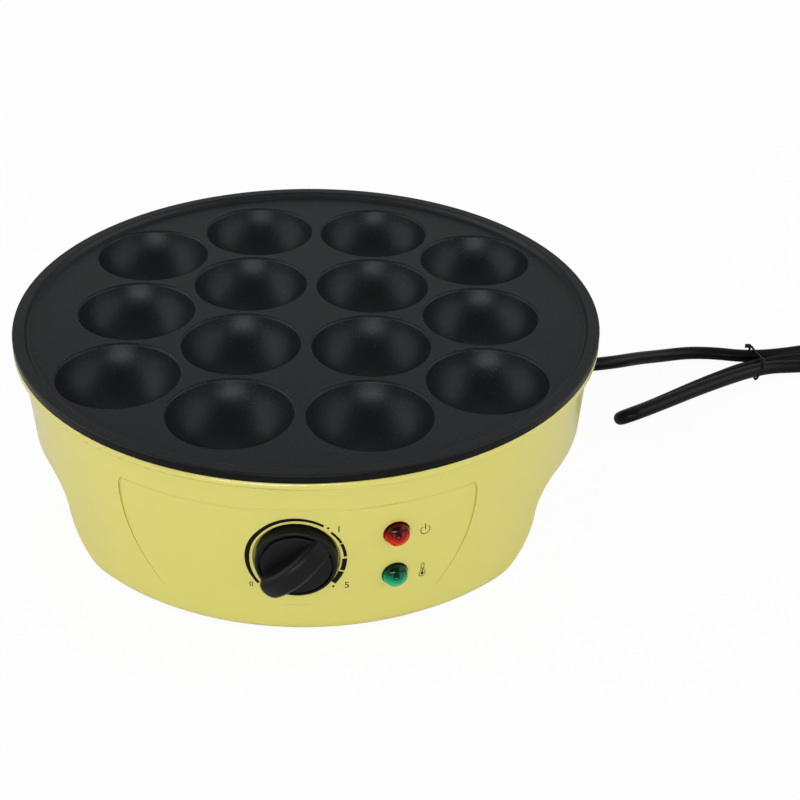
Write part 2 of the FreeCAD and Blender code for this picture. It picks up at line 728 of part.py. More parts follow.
piece("base_cover", base_cover())
group("base_screws", *[screw("base_screw_%d" % number, x, y, s.base_lift, base_screw_long)
                       for number, (x, y) in enumerate(screw_boss_places(), 1)])
group("rubber_feet", *[solid("Cone", "foot_%d_%d" % (across, along),
                             at(s.foot_x * across, s.foot_y * along, 0),
                             Radius1=s.foot_radius - 1, Radius2=s.foot_radius,
                             Height=s.base_lift)
                       for across in (-1, 1) for along in (-1, 1)])

# ---- dial: knob, shaft and thermostat, drawn about the dial's own axis ----

knob_place = dial_place + " * " + at(roll=s.off_angle)
clip_outer = s.shaft_radius + s.shaft_gap + s.clip_wall
bore_end = s.knob_back - s.knob_bore_deep


def control_knob():
    """A skirted knob with a grooved face and a crowned bar whose high nose points."""
    front, back, face = -s.knob_front, s.knob_back, -s.knob_face
    turn, soft = s.knob_round, s.knob_face_round
    ring = s.knob_radius - s.knob_ring
    disc = ring - s.knob_groove
    skirt = lathe("knob_skirt", [
        (0, back), (s.knob_radius, back), (s.knob_radius, front + turn),
        (s.knob_radius - turn, front, -turn), (ring, front),
        (ring, front + s.knob_groove_deep), (disc, front + s.knob_groove_deep),
        (disc, face + soft), (disc - soft, face, -soft), (0, face)], role="XY_Plane")
    crown, sunk = s.grip_crown, s.grip_crown - s.grip_reach
    ahead, behind = s.grip_nose - s.grip_lean, s.grip_tail + s.grip_lean
    nose_level = root(crown * crown - ahead * ahead) - sunk
    tail_level = root(crown * crown - behind * behind) - sunk
    bar = prism("knob_bar", "YZ_Plane", [
        (0, -s.grip_tail), (0, s.grip_nose), (-nose_level, s.grip_nose),
        (-tail_level, -s.grip_tail, crown)], s.grip_width, midplane=True)
    rounded(bar, s.grip_nose_round, lambda edge: edge.BoundBox.YLength > 2
            and edge.BoundBox.ZLength < 0.01 and edge.BoundBox.ZMin > 0)
    rounded(bar, s.grip_round, lambda edge: edge.BoundBox.YMax < 0.01 - tail_level.number
            and edge.BoundBox.ZMax > 0)
    bore = cylinder("knob_bore", clip_outer + s.shaft_gap, s.knob_bore_deep + 1,
                    at(0, bore_end, 0, tip=-90))
    return cut("knob_solid", join("knob_joined", skirt, bar), bore)


piece("control_knob", control_knob(), knob_place)


def thermostat_shaft():
    length = s.dial_pad_wall + s.bracket_sheet + 8 - bore_end
    rod = cylinder("shaft_rod", s.shaft_radius, length - 0.3, at(0, bore_end + 0.3, 0, tip=-90))
    flat = box("shaft_flat_cut", s.shaft_radius * 2, s.knob_bore_deep, s.shaft_radius * 2,
               0, bore_end + s.knob_bore_deep / 2, s.shaft_radius - s.shaft_flat)
    return cut("shaft_solid", rod, flat)


def knob_clip():
    """A split spring sleeve that grips the shaft inside the knob's bore."""
    inner = s.shaft_radius + s.shaft_gap
    ring = cut("clip_ring",
               cylinder("clip_out", clip_outer, s.knob_bore_deep - 2,
                        at(0, bore_end + 1, 0, tip=-90)),
               cylinder("clip_bore", inner, s.knob_bore_deep + 2, at(0, bore_end, 0, tip=-90)))
    slit = box("clip_slit", 1.2, s.knob_bore_deep + 2, clip_outer * 2, 0,
               bore_end + s.knob_bore_deep / 2, 0)
    return cut("clip_solid", ring, slit)


piece("thermostat_shaft", thermostat_shaft(), knob_place)
piece("knob_clip", knob_clip(), knob_place)


def dial_screw_x():
    return [(word, s.dial_screw_offset * side) for word, side in (("left", -1), ("right", 1))]


def thermostat_bracket():
    plate = box("bracket_plate", s.thermostat_width + 6, s.bracket_sheet,
                s.thermostat_tall + 2, 0, s.dial_pad_wall + s.bracket_sheet / 2,
                -s.thermostat_tall / 2 - 1)
    holes = [cylinder("bracket_shaft_hole", shaft_hole, 6, at(0, s.dial_pad_wall - 1, 0, tip=-90))]
    holes += [cylinder("bracket_hole_" + word, s.dial_screw_radius + s.thread_gap, 6,
                       at(x, s.dial_pad_wall - 1, 0, tip=-90)) for word, x in dial_screw_x()]
    return cut("bracket_solid", plate, *holes)


def thermostat_body():
    front = s.dial_pad_wall + s.bracket_sheet
    half, tall = s.thermostat_width / 2, s.thermostat_tall / 2
    block = prism("thermostat_block", "XZ_Plane", [
        (4 - half, -tall, 4), (half - 4, -tall), (half, 4 - tall, 4), (half, tall - 4),
        (half - 4, tall, 4), (4 - half, tall), (-half, tall - 4, 4),
        (-half, 4 - tall)], s.thermostat_deep, backwards=True)
    block.setExpression("Placement", at(0, front, 0))
    holes = [cylinder("thermostat_bore", s.shaft_radius + s.shaft_gap, 9,
                      at(0, front - 0.5, 0, tip=-90))]
    holes += [cylinder("thermostat_hole_" + word, s.dial_screw_radius + s.thread_gap, 6,
                       at(x, front - 0.5, 0, tip=-90)) for word, x in dial_screw_x()]
    return cut("thermostat_solid", block, *holes)


def dial_screw(word, x):
    return join("dial_screw_" + word,
                solid("Cone", "dial_screw_head_" + word,
                      at(x, s.well_depth + 0.1, 0, tip=-90),
                      Radius1=s.dial_screw_radius * 2 - 0.3, Radius2=s.dial_screw_radius,
                      Height=1.3),
                cylinder("dial_screw_shank_" + word, s.dial_screw_radius,
                         s.dial_screw_length, at(x, s.well_depth + 0.6, 0, tip=-90)))


piece("thermostat_bracket", thermostat_bracket(), dial_place)
piece("thermostat_body", thermostat_body(), dial_place)
piece("thermostat_screws", join("dial_screws", *[dial_screw(word, x)
                                                 for word, x in dial_screw_x()]), dial_place)


def thermostat_tabs():
    back = s.dial_pad_wall + s.bracket_sheet + s.thermostat_deep
    return join("tabs", *[box("tab_%d" % side, 0.8, 9, 6.3, s.thermostat_width / 4 * side,
                              back + 4.5, -3.15) for side in (-1, 1)])


piece("thermostat_tabs", thermostat_tabs(), dial_place)

# ---- lamps, drawn about their own axis with -Y outward ----

lens_back = s.shell_wall + 1.6


def lamp_lens(name):
    """A domed lens on a barrel through the wall, with a flange behind it."""
    barrel = s.lens_radius
    proud = s.lens_proud
    tall = s.lens_dome
    dome = (barrel * barrel + tall * tall) / (tall * 2)
    return lathe(name, [
        (0, lens_back + 1), (s.lens_flange, lens_back + 1), (s.lens_flange, lens_back),
        (barrel, lens_back), (barrel, -proud), (0, -(proud + tall), -dome)],
        role="XY_Plane")


for word, side in (("ready", -1), ("power", 1)):
    piece(word + "_lamp_lens", lamp_lens(word + "_lens"), lamp_place(side))
    piece(word + "_lamp_tube", lathe(word + "_tube", [
        (0, lens_back + 1), (s.lamp_tube + 1, lens_back + 1),
        (s.lamp_tube + 1, lens_back + 3), (s.lamp_tube, lens_back + 3),
        (s.lamp_tube, lens_back + s.lamp_tube_long),
        (0, lens_back + s.lamp_tube_long)], role="XY_Plane"), lamp_place(side))

# ---- cord, strain relief and plug ----

relief_start = s.web_offset + s.flange_sheet
relief_end = s.web_offset + s.relief_long


def strain_relief():
    """Snapped into the web: a collar inside, a neck in the hole and a tapered boot."""
    neck_start = web_inside
    collar = neck_start - s.flange_sheet
    return lathe("relief", [
        (0, collar), (s.relief_flange, collar), (s.relief_flange, neck_start),
        (s.relief_root, neck_start), (s.relief_root, s.web_offset),
        (s.relief_flange, s.web_offset), (s.relief_flange, relief_start),
        (s.relief_root, relief_start), (s.relief_tip, relief_end), (0, relief_end)],
        role="XY_Plane")


piece("cord_strain_relief", strain_relief(), at(0, s.cord_y, s.cord_z, turn=-90))

# The cord's route on the counter, in the shell's own axes: out of the boot, down to
# the counter and into the hank; then out of the hank and up into the plug's neck.
cord_exit = (relief_end.number, s.cord_y.number, s.cord_z.number)
CORD_RUN = [cord_exit, (131.0, s.cord_y.number, s.cord_z.number), (148.0, 67.0, 18.0),
            (162.0, 80.0, 12.8), (177.0, 93.0, 6.8), (192.0, 100.6, 4.5),
            (207.0, 102.2, 3.5), (220.0, 99.6, 3.5)]
CORD_TAIL = [(262.0, 91.5, 3.5), (282.0, 91.5, 3.5), (300.0, 88.5, 5.6),
             (317.0, 83.0, 10.2), (333.0, 77.5, 15.2), (349.0, 73.5, 18.5),
             (364.0, 70.5, 18.5)]
# The folded cord's outline from above, and how high it stands along its length.
HANK_PLAN = [(145.2, 33.5), (148.5, 27.6), (153.5, 26.6), (231.0, 78.2), (262.0, 87.8),
             (262.0, 95.3), (265.0, 98.2), (300.0, 106.2), (338.0, 104.5),
             (362.0, 107.0), (376.0, 118.0), (378.0, 132.0), (368.0, 145.0),
             (349.0, 151.5), (326.0, 146.0), (296.0, 127.5), (262.0, 113.5),
             (229.0, 102.9), (220.706, 103.13), (219.294, 96.07), (216.0, 88.6),
             (154.5, 46.4), (147.5, 41.5), (145.3, 36.0)]
HANK_SIDE = [(130, 0.1), (390, 0.1), (390, 7.4), (221, 7.4), (158, 13.9), (130, 13.9)]
TIE_AT = (228.0, 91.0)


def cord_piece(name, points):
    """A stretch of cord, a node of its own."""
    moved = [(x, y + axis_shift.number, z) for x, y, z in points]
    pieces[name] = tube(name, moved, s.cord_radius)
    pieces[name].Label = name


cord_piece("power_cord_run", CORD_RUN)
cord_piece("power_cord_tail", CORD_TAIL)


def cord_hank():
    """The folded cord as one solid: a tight raised fold on the left, the strands side
    by side through the tie, and a loose fold on the right."""
    plan = prism("hank_plan", "XY_Plane", HANK_PLAN, 20)
    sides = prism("hank_side", "XZ_Plane", HANK_SIDE, 400, midplane=True)
    groove = box("tie_groove", s.tie_width + 1, 40, 1.1, 0, 0, 0, tie_place)
    return cut("hank", common("hank_solid", plan, sides), groove)


tie_place = at(TIE_AT[0], TIE_AT[1], 0, turn=s.tie_swing)
piece("power_cord_hank", cord_hank())


def cord_tie():
    """A band of coated wire round the three strands, with its twisted ends on top."""
    wide, tall, wire = 28.0, 6.7, s.tie_wire
    band = cut("tie_band",
               box("tie_out", s.tie_width, wide + wire * 2, tall + wire * 2, 0, 0, 0.1),
               box("tie_in", s.tie_width * 2, wide, tall, 0, 0, wire + 0.1))
    return join("tie", band, cylinder("tie_twist", wire, 14,
                                      at(0, 2, tall + wire * 2, roll=82)))


piece("cord_tie", cord_tie(), tie_place)

plug_end, plug_before = CORD_TAIL[-1], CORD_TAIL[-2]
plug_turn = math.degrees(math.atan2(plug_end[1] - plug_before[1],
                                    plug_end[0] - plug_before[0])) - 90
plug_place = at(plug_end[0], plug_end[1], plug_end[2], turn=plug_turn)
plug_back = s.plug_neck_long + 8
plug_front = plug_back + s.plug_long


def plug_body():
    """A round two-pin plug with a tapered neck. Its axis is +Y and its neck starts at 0."""
    outer = s.plug_radius
    return lathe("plug", [
        (0, 0), (s.relief_tip, 0), (s.relief_root, s.plug_neck_long),
        (outer - 7, plug_back), (outer - 2, plug_back + 3), (outer, plug_back + 10),
        (outer, plug_front - 2), (outer - 2, plug_front), (0, plug_front)],
        role="XY_Plane")


def plug_pin(word, side):
    """A round pin, sleeved at its root and rounded at its tip."""
    radius, long = s.plug_pin_radius, s.plug_pin_long
    pin = lathe("pin_" + word, [
        (0, 0), (radius, 0), (radius, long - 1.5), (radius - 1.5, long, 1.5), (0, long)],
        role="XY_Plane")
    pin.setExpression("Placement", at(s.plug_pin_pitch / 2 * side, plug_front, 0))
    return pin


piece("plug_body", plug_body(), plug_place)
piece("plug_pins", join("pins", plug_pin("live", -1), plug_pin("neutral", 1)), plug_place)

# ---- inside wiring ----

block_side = s.block_x + s.block_wide / 2


def terminal_block():
    """A three-pole block that stands on the base beside the cord's clamp."""
    body = box("block", s.block_wide, s.block_long, s.block_tall, s.block_x, s.cord_y,
               base_top)
    wells = [cylinder("block_well_%d" % step, 2.6, 8,
                      at(s.block_x, s.cord_y + 9 * step, base_top + s.block_tall - 7))
             for step in (-1, 0, 1)]
    return cut("block_cut", body, *wells)


piece("terminal_block", terminal_block())
group("terminal_screws", *[
    cylinder("block_screw_%d" % step, 2.3, 4,
             at(s.block_x, s.cord_y + 9 * step, base_top + s.block_tall - 7))
    for step in (-1, 0, 1)])


def cord_clamp():
    """A saddle over the cord, screwed down to the base."""
    saddle = box("clamp", s.clamp_width, s.clamp_long, s.cord_z - base_top + 6, s.clamp_x,
                 s.cord_y, base_top)
    bore = cylinder("clamp_bore", s.cord_radius + s.shaft_gap, s.clamp_width * 2,
                    at(s.clamp_x - s.clamp_width, s.cord_y, s.cord_z, roll=90))
    return cut("clamp_solid", saddle, bore)


piece("cord_clamp", cord_clamp())
group("inner_cord", cylinder("inner_cord_tube", s.cord_radius,
                             web_inside - s.flange_sheet - block_side,
                             at(block_side, s.cord_y, s.cord_z, roll=90)))


def leads():
    """Heat-proof leads from the block to the thermostat and to the element's pins."""
    tab = s.thermostat_width.number / 4
    reach = (s.dial_pad_wall + s.bracket_sheet + s.thermostat_deep).number + 9.2
    lean = math.radians(s.dial_tilt.number)
    tab_y = reach * math.cos(lean) - dial_front.number
    tab_z = reach * math.sin(lean) + s.dial_height.number
    pin_x, pin_y, pin_z = (value.number for value in pin_places()[1])
    start = s.block_x.number - s.block_wide.number / 2
    level = base_top.number + 8
    return [
        ("lead_live", [(start, 54, level), (start - 15, 54, level), (18, 28, 12),
                       (-6, -44, 27), (-tab, -68, 38), (-tab, tab_y, tab_z)]),
        ("lead_switched", [(tab, tab_y, tab_z), (tab, tab_y + 12, tab_z - 2),
                           (pin_x - 4, pin_y - 6, pin_z - 15), (pin_x, pin_y, pin_z - 9),
                           (pin_x, pin_y, pin_z)]),
        ("lead_neutral", [(start, 64, level), (start - 18, 64, level), (-14, 4, 8.5),
                          (-pin_x, pin_y + 22, 16), (-pin_x, pin_y, 26),
                          (-pin_x, pin_y, pin_z)])]


group("internal_leads", *[tube(name, points, s.lead_radius) for name, points in leads()])

# ---- build, check and write ----

doc.recompute()
bad = [item.Name for item in doc.Objects
       if "Invalid" in item.State or "Error" in item.State]
for name, item in pieces.items():
    if item.Shape.isNull() or not item.Shape.isValid():
        bad.append(name)
if bad:
    raise RuntimeError("failed: " + ", ".join(bad))

print("axis_shift %.4f, dial_front %.4f" % (axis_shift.number, dial_front.number))
os.makedirs("parts", exist_ok=True)
for name, item in pieces.items():
    item.Shape.exportStep("parts/%s.step" % name)
    bounds = item.Shape.BoundBox
    print("%-22s solids %d volume %9.0f  x %.1f..%.1f  y %.1f..%.1f  z %.1f..%.1f" % (
        name, len(item.Shape.Solids), item.Shape.Volume, bounds.XMin, bounds.XMax,
        bounds.YMin, bounds.YMax, bounds.ZMin, bounds.ZMax))
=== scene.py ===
import json
import math
import bmesh
import bpy
from mathutils import Matrix, Vector
from mathutils.bvhtree import BVHTree


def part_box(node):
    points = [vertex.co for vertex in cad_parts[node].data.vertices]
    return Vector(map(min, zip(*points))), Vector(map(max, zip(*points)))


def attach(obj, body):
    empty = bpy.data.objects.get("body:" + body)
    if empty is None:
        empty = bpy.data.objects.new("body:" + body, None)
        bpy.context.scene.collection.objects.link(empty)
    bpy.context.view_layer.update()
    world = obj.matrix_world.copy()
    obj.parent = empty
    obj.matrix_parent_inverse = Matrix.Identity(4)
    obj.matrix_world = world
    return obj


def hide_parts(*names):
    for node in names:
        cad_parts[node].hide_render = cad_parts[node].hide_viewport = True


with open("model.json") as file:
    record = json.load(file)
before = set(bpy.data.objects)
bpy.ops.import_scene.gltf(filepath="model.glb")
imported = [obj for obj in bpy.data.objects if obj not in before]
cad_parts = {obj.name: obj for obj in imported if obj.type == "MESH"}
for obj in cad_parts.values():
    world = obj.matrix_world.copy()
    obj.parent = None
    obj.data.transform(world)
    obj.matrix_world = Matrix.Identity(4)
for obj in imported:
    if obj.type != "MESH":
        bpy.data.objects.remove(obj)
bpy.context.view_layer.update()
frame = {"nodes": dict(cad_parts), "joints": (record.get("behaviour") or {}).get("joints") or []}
nodes = frame["nodes"]
mm = 0.001

plateLow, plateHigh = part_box("cooking_plate")
plateRadius = plateHigh.x
shellBack = (plateLow.y + plateHigh.y) / 2  # the shell's axis lies this far behind the origin
shellAxis = Vector((0, shellBack, 0))
dialJoint = frame["joints"][0]
print("frame loaded, shell axis at y = %.2f mm" % (shellBack / mm))

# ---- shared helpers ----


def newObject(name, data):
    obj = bpy.data.objects.new(name, data)
    bpy.context.scene.collection.objects.link(obj)
    return obj


def meshOf(obj):
    # The shape that the object shows, as a plain mesh.
    return bpy.data.meshes.new_from_object(
        obj.evaluated_get(bpy.context.evaluated_depsgraph_get()))


def inFrame(place):
    # From mm about the shell's axis to metres in the frame.
    return Vector(place) * mm + shellAxis


def feed(tree, node, links):
    # Each input, by its name or number, takes a socket's link or a plain value.
    for label, source in links.items():
        if isinstance(source, bpy.types.NodeSocket):
            tree.links.new(source, node.inputs[label])
        else:
            node.inputs[label].default_value = source
    return node


def addNode(tree, kind, links=None, **values):
    # The values set the node's properties, and the links feed its inputs.
    node = tree.nodes.new(kind)
    for field, value in values.items():
        setattr(node, field, value)
    return feed(tree, node, links or {})


def calc(tree, operation, first, second):
    return addNode(tree, "ShaderNodeMath", {0: first, 1: second},
                   operation=operation).outputs[0]


def blendColors(tree, share, first, second):
    # The mix node's colours are its inputs 6 and 7 and its output 2.
    return addNode(tree, "ShaderNodeMix", {"Factor": share, 6: first, 7: second},
                   data_type="RGBA").outputs[2]


def newMaterial(name):
    made = bpy.data.materials.new(name)
    made.use_nodes = True
    return made, made.node_tree, made.node_tree.nodes["Principled BSDF"]


# ---- camera and light ----

cameraSettings = {
    "place": (28.23, -559.73, 390.94),  # mm, about the shell's axis
    "turn": (57.648, -1.251, -0.463),
    "lens": 66.1,
    "sensor": 36.0,
    "clipStart": 0.01,
}
lightSettings = {
    "worldFront": 0.33,  # the room is darker in front of the worktop than behind it
    "worldBack": 0.46,
    "worldSpan": 0.6,  # the change runs over this share of the way to straight front and back
    "lamps": [  # name, place in metres, width, height, power
        ("keyLamp", (-1.45, -0.25, 0.80), 2.6, 1.1, 15.0),
        ("fillLamp", (1.48, -0.20, 0.75), 2.6, 1.1, 13.0),
        ("frontLamp", (-0.02, -1.62, 0.40), 1.3, 0.24, 12.5),
        ("rearLamp", (0.10, 0.75, 1.45), 1.1, 1.1, 1.0),
    ],
    "aim": (0.0, 0.0, 0.05),
    "floorSize": 14.0,
    "floorTone": 0.86,
    "floorRough": 0.9,
    "floorSpecular": 0.1,
    "floorGlow": 0.95,  # how far the seen floor is lifted to plain white
}


def pointAt(obj, place, target):
    obj.location = place
    obj.rotation_euler = (Vector(target) - Vector(place)).to_track_quat("-Z", "Y").to_euler()


def buildCamera(cfg):
    data = bpy.data.cameras.new("sceneCamera")
    data.sensor_width = cfg["sensor"]
    data.lens = cfg["lens"]
    data.clip_start = cfg["clipStart"]
    cam = newObject("sceneCamera", data)
    x, y, z = cfg["place"]
    cam.location = (x * mm, y * mm + shellBack, z * mm)
    cam.rotation_euler = [math.radians(angle) for angle in cfg["turn"]]
    bpy.context.scene.camera = cam


def seenWhite(tree, dim, strength):
    # Camera and see-through rays meet plain white; the rest meet the dimmer level.
    path = addNode(tree, "ShaderNodeLightPath").outputs
    seen = calc(tree, "MAXIMUM", path["Is Camera Ray"], path["Is Transmission Ray"])
    return addNode(tree, "ShaderNodeMapRange", {
        "Value": seen, "To Min": dim, "To Max": strength}).outputs["Result"]


def buildWorld(cfg):
    world = bpy.data.worlds.new("studioWorld")
    bpy.context.scene.world = world
    world.use_nodes = True
    tree = world.node_tree
    around = addNode(tree, "ShaderNodeTexCoord").outputs["Generated"]
    facing = addNode(tree, "ShaderNodeSeparateXYZ", {"Vector": around})
    tone = addNode(tree, "ShaderNodeMapRange", {
        "Value": facing.outputs["Y"], "From Min": -cfg["worldSpan"],
        "From Max": cfg["worldSpan"], "To Min": cfg["worldFront"],
        "To Max": cfg["worldBack"]}).outputs["Result"]
    feed(tree, tree.nodes["Background"], {
        "Color": (1, 1, 1, 1), "Strength": seenWhite(tree, tone, 1.0)})


def buildLamps(cfg):
    for name, place, width, height, power in cfg["lamps"]:
        data = bpy.data.lights.new(name, "AREA")
        data.shape = "ELLIPSE"
        data.size = width
        data.size_y = height
        data.energy = power
        pointAt(newObject(name, data), place, cfg["aim"])


def buildWorktop(cfg):
    half = cfg["floorSize"] / 2
    mesh = bpy.data.meshes.new("worktop")
    mesh.from_pydata([(-half, -half, 0), (half, -half, 0), (half, half, 0), (-half, half, 0)],
                     [], [(0, 1, 2, 3)])
    floor = newObject("worktop", mesh)
    paint, tree, shader = newMaterial("worktopWhite")
    feed(tree, shader, {
        "Base Color": (cfg["floorTone"], cfg["floorTone"], cfg["floorTone"], 1),
        "Roughness": cfg["floorRough"], "Specular IOR Level": cfg["floorSpecular"]})
    blend = addNode(tree, "ShaderNodeMixShader", {
        "Fac": seenWhite(tree, 0.0, cfg["floorGlow"]), 1: shader.outputs[0],
        2: addNode(tree, "ShaderNodeEmission").outputs[0]})
    feed(tree, tree.nodes["Material Output"], {"Surface": blend.outputs[0]})
    mesh.materials.append(paint)


buildCamera(cameraSettings)
buildWorld(lightSettings)
buildLamps(lightSettings)
buildWorktop(lightSettings)
bpy.context.scene.view_settings.view_transform = "Standard"
print("camera and stage ready")

# ---- shared shader groups ----


def shaderGroup(name, inputs, outputs):
    tree = bpy.data.node_groups.new(name, "ShaderNodeTree")
    for label, kind, value in inputs:
        socket = tree.interface.new_socket(label, in_out="INPUT", socket_type=kind)
        socket.default_value = value
    for label, kind in outputs:
        tree.interface.new_socket(label, in_out="OUTPUT", socket_type=kind)
    return tree, tree.nodes.new("NodeGroupInput"), tree.nodes.new("NodeGroupOutput")


def buildGrain():
    # Fine moulded or cast texture: a height, a little change of gloss, and cloudy toning.
    tree, given, put = shaderGroup("surfaceGrain", [
        ("Color", "NodeSocketColor", (0.5, 0.5, 0.5, 1)),
        ("Grain Size", "NodeSocketFloat", 900.0),
        ("Cloud Size", "NodeSocketFloat", 18.0),
        ("Toning", "NodeSocketFloat", 0.06),
        ("Roughness", "NodeSocketFloat", 0.4),
        ("Roughness Change", "NodeSocketFloat", 0.05)],
        [("Color", "NodeSocketColor"), ("Roughness", "NodeSocketFloat"),
         ("Height", "NodeSocketFloat")])
    place = addNode(tree, "ShaderNodeTexCoord").outputs["Object"]
    grain = addNode(tree, "ShaderNodeTexNoise",
                    {"Vector": place, "Scale": given.outputs["Grain Size"], "Detail": 3.0})
    cloud = addNode(tree, "ShaderNodeTexNoise",
                    {"Vector": place, "Scale": given.outputs["Cloud Size"], "Detail": 2.0})
    centred = calc(tree, "SUBTRACT", cloud.outputs[0], 0.5)
    tone = calc(tree, "MULTIPLY", centred, given.outputs["Toning"])
    shade = addNode(tree, "ShaderNodeVectorMath", {
        0: given.outputs["Color"], "Scale": calc(tree, "ADD", tone, 1.0)}, operation="SCALE")
    change = calc(tree, "MULTIPLY", centred, given.outputs["Roughness Change"])
    feed(tree, put, {"Color": shade.outputs[0], "Height": grain.outputs[0],
                     "Roughness": calc(tree, "ADD", change, given.outputs["Roughness"])})
    return tree


def buildSparkle():
    # Tiny bright flecks, as in a speckled coating: sparse cells, each with its own shade.
    tree, given, put = shaderGroup("coatingSparkle", [
        ("Color", "NodeSocketColor", (0.02, 0.02, 0.02, 1)),
        ("Fleck Color", "NodeSocketColor", (0.3, 0.3, 0.3, 1)),
        ("Fleck Size", "NodeSocketFloat", 1800.0),
        ("Fleck Reach", "NodeSocketFloat", 0.45),
        ("Share", "NodeSocketFloat", 0.12)],
        [("Color", "NodeSocketColor")])
    place = addNode(tree, "ShaderNodeTexCoord").outputs["Object"]
    cells = addNode(tree, "ShaderNodeTexVoronoi",
                    {"Vector": place, "Scale": given.outputs["Fleck Size"]})
    pick = addNode(tree, "ShaderNodeSeparateColor", {"Color": cells.outputs["Color"]})
    near = calc(tree, "LESS_THAN", cells.outputs["Distance"], given.outputs["Fleck Reach"])
    chosen = calc(tree, "LESS_THAN", pick.outputs[0], given.outputs["Share"])
    mask = calc(tree, "MULTIPLY", near, chosen)
    shine = calc(tree, "MULTIPLY", mask, pick.outputs[1])
    feed(tree, put, {"Color": blendColors(tree, shine, given.outputs["Color"],
                                          given.outputs["Fleck Color"])})
    return tree


grainGroup = buildGrain()
sparkleGroup = buildSparkle()

# ---- materials ----

glossChange = 0.25  # a finish's roughness wanders by this share of itself
finishes = {
    # colour, roughness, metallic, grains per metre, bump in mm, toning and the shader's inputs
    "shellYellow": {"color": (0.572, 0.520, 0.110), "rough": 0.34, "grain": 1500,
                    "bump": 0.004, "tone": 0.03, "Coat Weight": 0.6,
                    "Coat Roughness": 0.16},
    "baseBlack": {"color": (0.022, 0.022, 0.023), "rough": 0.55, "grain": 1200,
                  "bump": 0.03, "tone": 0.15},
    "knobBlack": {"color": (0.0052, 0.0054, 0.0056), "rough": 0.36, "grain": 2200,
                  "bump": 0.010, "tone": 0.12, "Specular IOR Level": 0.13},
    "cordBlack": {"color": (0.0032, 0.0032, 0.0030), "rough": 0.36, "grain": 1400,
                  "bump": 0.010, "tone": 0.10, "Specular IOR Level": 0.11},
    "footRubber": {"color": (0.020, 0.020, 0.020), "rough": 0.75, "grain": 1600,
                   "bump": 0.03, "tone": 0.15},
    "printBlack": {"color": (0.0035, 0.0035, 0.0035), "rough": 0.50, "grain": 2500,
                   "bump": 0.002, "tone": 0.08, "Specular IOR Level": 0.08},
    "zincSteel": {"color": (0.60, 0.60, 0.57), "rough": 0.33, "metal": 1.0,
                  "grain": 700, "bump": 0.006, "tone": 0.12},
    "springSteel": {"color": (0.50, 0.50, 0.52), "rough": 0.28, "metal": 1.0,
                    "grain": 900, "bump": 0.004, "tone": 0.08},
    "elementSheath": {"color": (0.20, 0.17, 0.14), "rough": 0.48, "metal": 0.9,
                      "grain": 800, "bump": 0.02, "tone": 0.35},
    "aluminisedSheet": {"color": (0.66, 0.66, 0.65), "rough": 0.36, "metal": 1.0,
                        "grain": 300, "bump": 0.01, "tone": 0.15},
    "ceramicWhite": {"color": (0.72, 0.68, 0.60), "rough": 0.60, "grain": 1500,
                     "bump": 0.02, "tone": 0.10},
    "mouldedCream": {"color": (0.58, 0.53, 0.42), "rough": 0.50, "grain": 1100,
                     "bump": 0.015, "tone": 0.08},
    "plainBrass": {"color": (0.72, 0.52, 0.20), "rough": 0.30, "metal": 1.0,
                   "grain": 900, "bump": 0.005, "tone": 0.12},
    "sleeveWhite": {"color": (0.68, 0.68, 0.66), "rough": 0.50, "grain": 1500,
                    "bump": 0.01, "tone": 0.05},
    "leadBraid": {"color": (0.62, 0.58, 0.50), "rough": 0.65, "grain": 2600,
                  "bump": 0.05, "tone": 0.15},
    # painted shade: a darker copy of the plate's coat, for the rim's side faces
    "rimShadedCoating": {"color": (0.0036, 0.0038, 0.0040), "rough": 0.26, "grain": 1900,
                   "bump": 0.010, "tone": 0.15, "Specular IOR Level": 0.09},
    "platedPins": {"color": (0.68, 0.67, 0.64), "rough": 0.20, "metal": 1.0,
                   "grain": 1200, "bump": 0.002, "tone": 0.06},
}


def wearGrain(tree, shader, grain, bump):
    # The shader takes its colour, gloss and fine relief from the grain.
    relief = addNode(tree, "ShaderNodeBump", {
        "Height": grain.outputs["Height"], "Distance": bump * mm})
    feed(tree, shader, {
        "Base Color": grain.outputs["Color"], "Roughness": grain.outputs["Roughness"],
        "Normal": relief.outputs[0]})


def grainedMaterial(name, cfg):
    made, tree, shader = newMaterial(name)
    grain = addNode(tree, "ShaderNodeGroup", {
        "Color": (*cfg["color"], 1), "Grain Size": cfg["grain"], "Toning": cfg["tone"],
        "Roughness": cfg["rough"], "Roughness Change": cfg["rough"] * glossChange},
        node_tree=grainGroup)
    wearGrain(tree, shader, grain, cfg["bump"])
    feed(tree, shader, {"Metallic": cfg.get("metal", 0.0)})
    feed(tree, shader, {label: value for label, value in cfg.items()
                        if label in shader.inputs.keys()})
    return made


materials = {name: grainedMaterial(name, cfg) for name, cfg in finishes.items()}

coatingSettings = {
    "color": (0.0070, 0.0078, 0.0086),
    "fleck": (0.050, 0.054, 0.058),
    "fleckSize": 2600.0,
    "share": 0.07,
    "rough": 0.39,
    "roughChange": 0.10,
    "tone": 0.25,
    "bump": 0.050,
    "grain": 1400.0,
    "specular": 0.195,
    "sheen": (0.93, 0.98, 1.0),
}


def coatingMaterial(cfg):
    made, tree, shader = newMaterial("speckledCoating")
    sparkle = addNode(tree, "ShaderNodeGroup", {
        "Color": (*cfg["color"], 1), "Fleck Color": (*cfg["fleck"], 1),
        "Fleck Size": cfg["fleckSize"], "Share": cfg["share"]}, node_tree=sparkleGroup)
    grain = addNode(tree, "ShaderNodeGroup", {
        "Color": sparkle.outputs["Color"], "Grain Size": cfg["grain"], "Toning": cfg["tone"],
        "Roughness": cfg["rough"], "Roughness Change": cfg["roughChange"]},
        node_tree=grainGroup)
    wearGrain(tree, shader, grain, cfg["bump"])
    feed(tree, shader, {"Specular IOR Level": cfg["specular"],
                        "Specular Tint": (*cfg["sheen"], 1)})
    return made


materials["speckledCoating"] = coatingMaterial(coatingSettings)

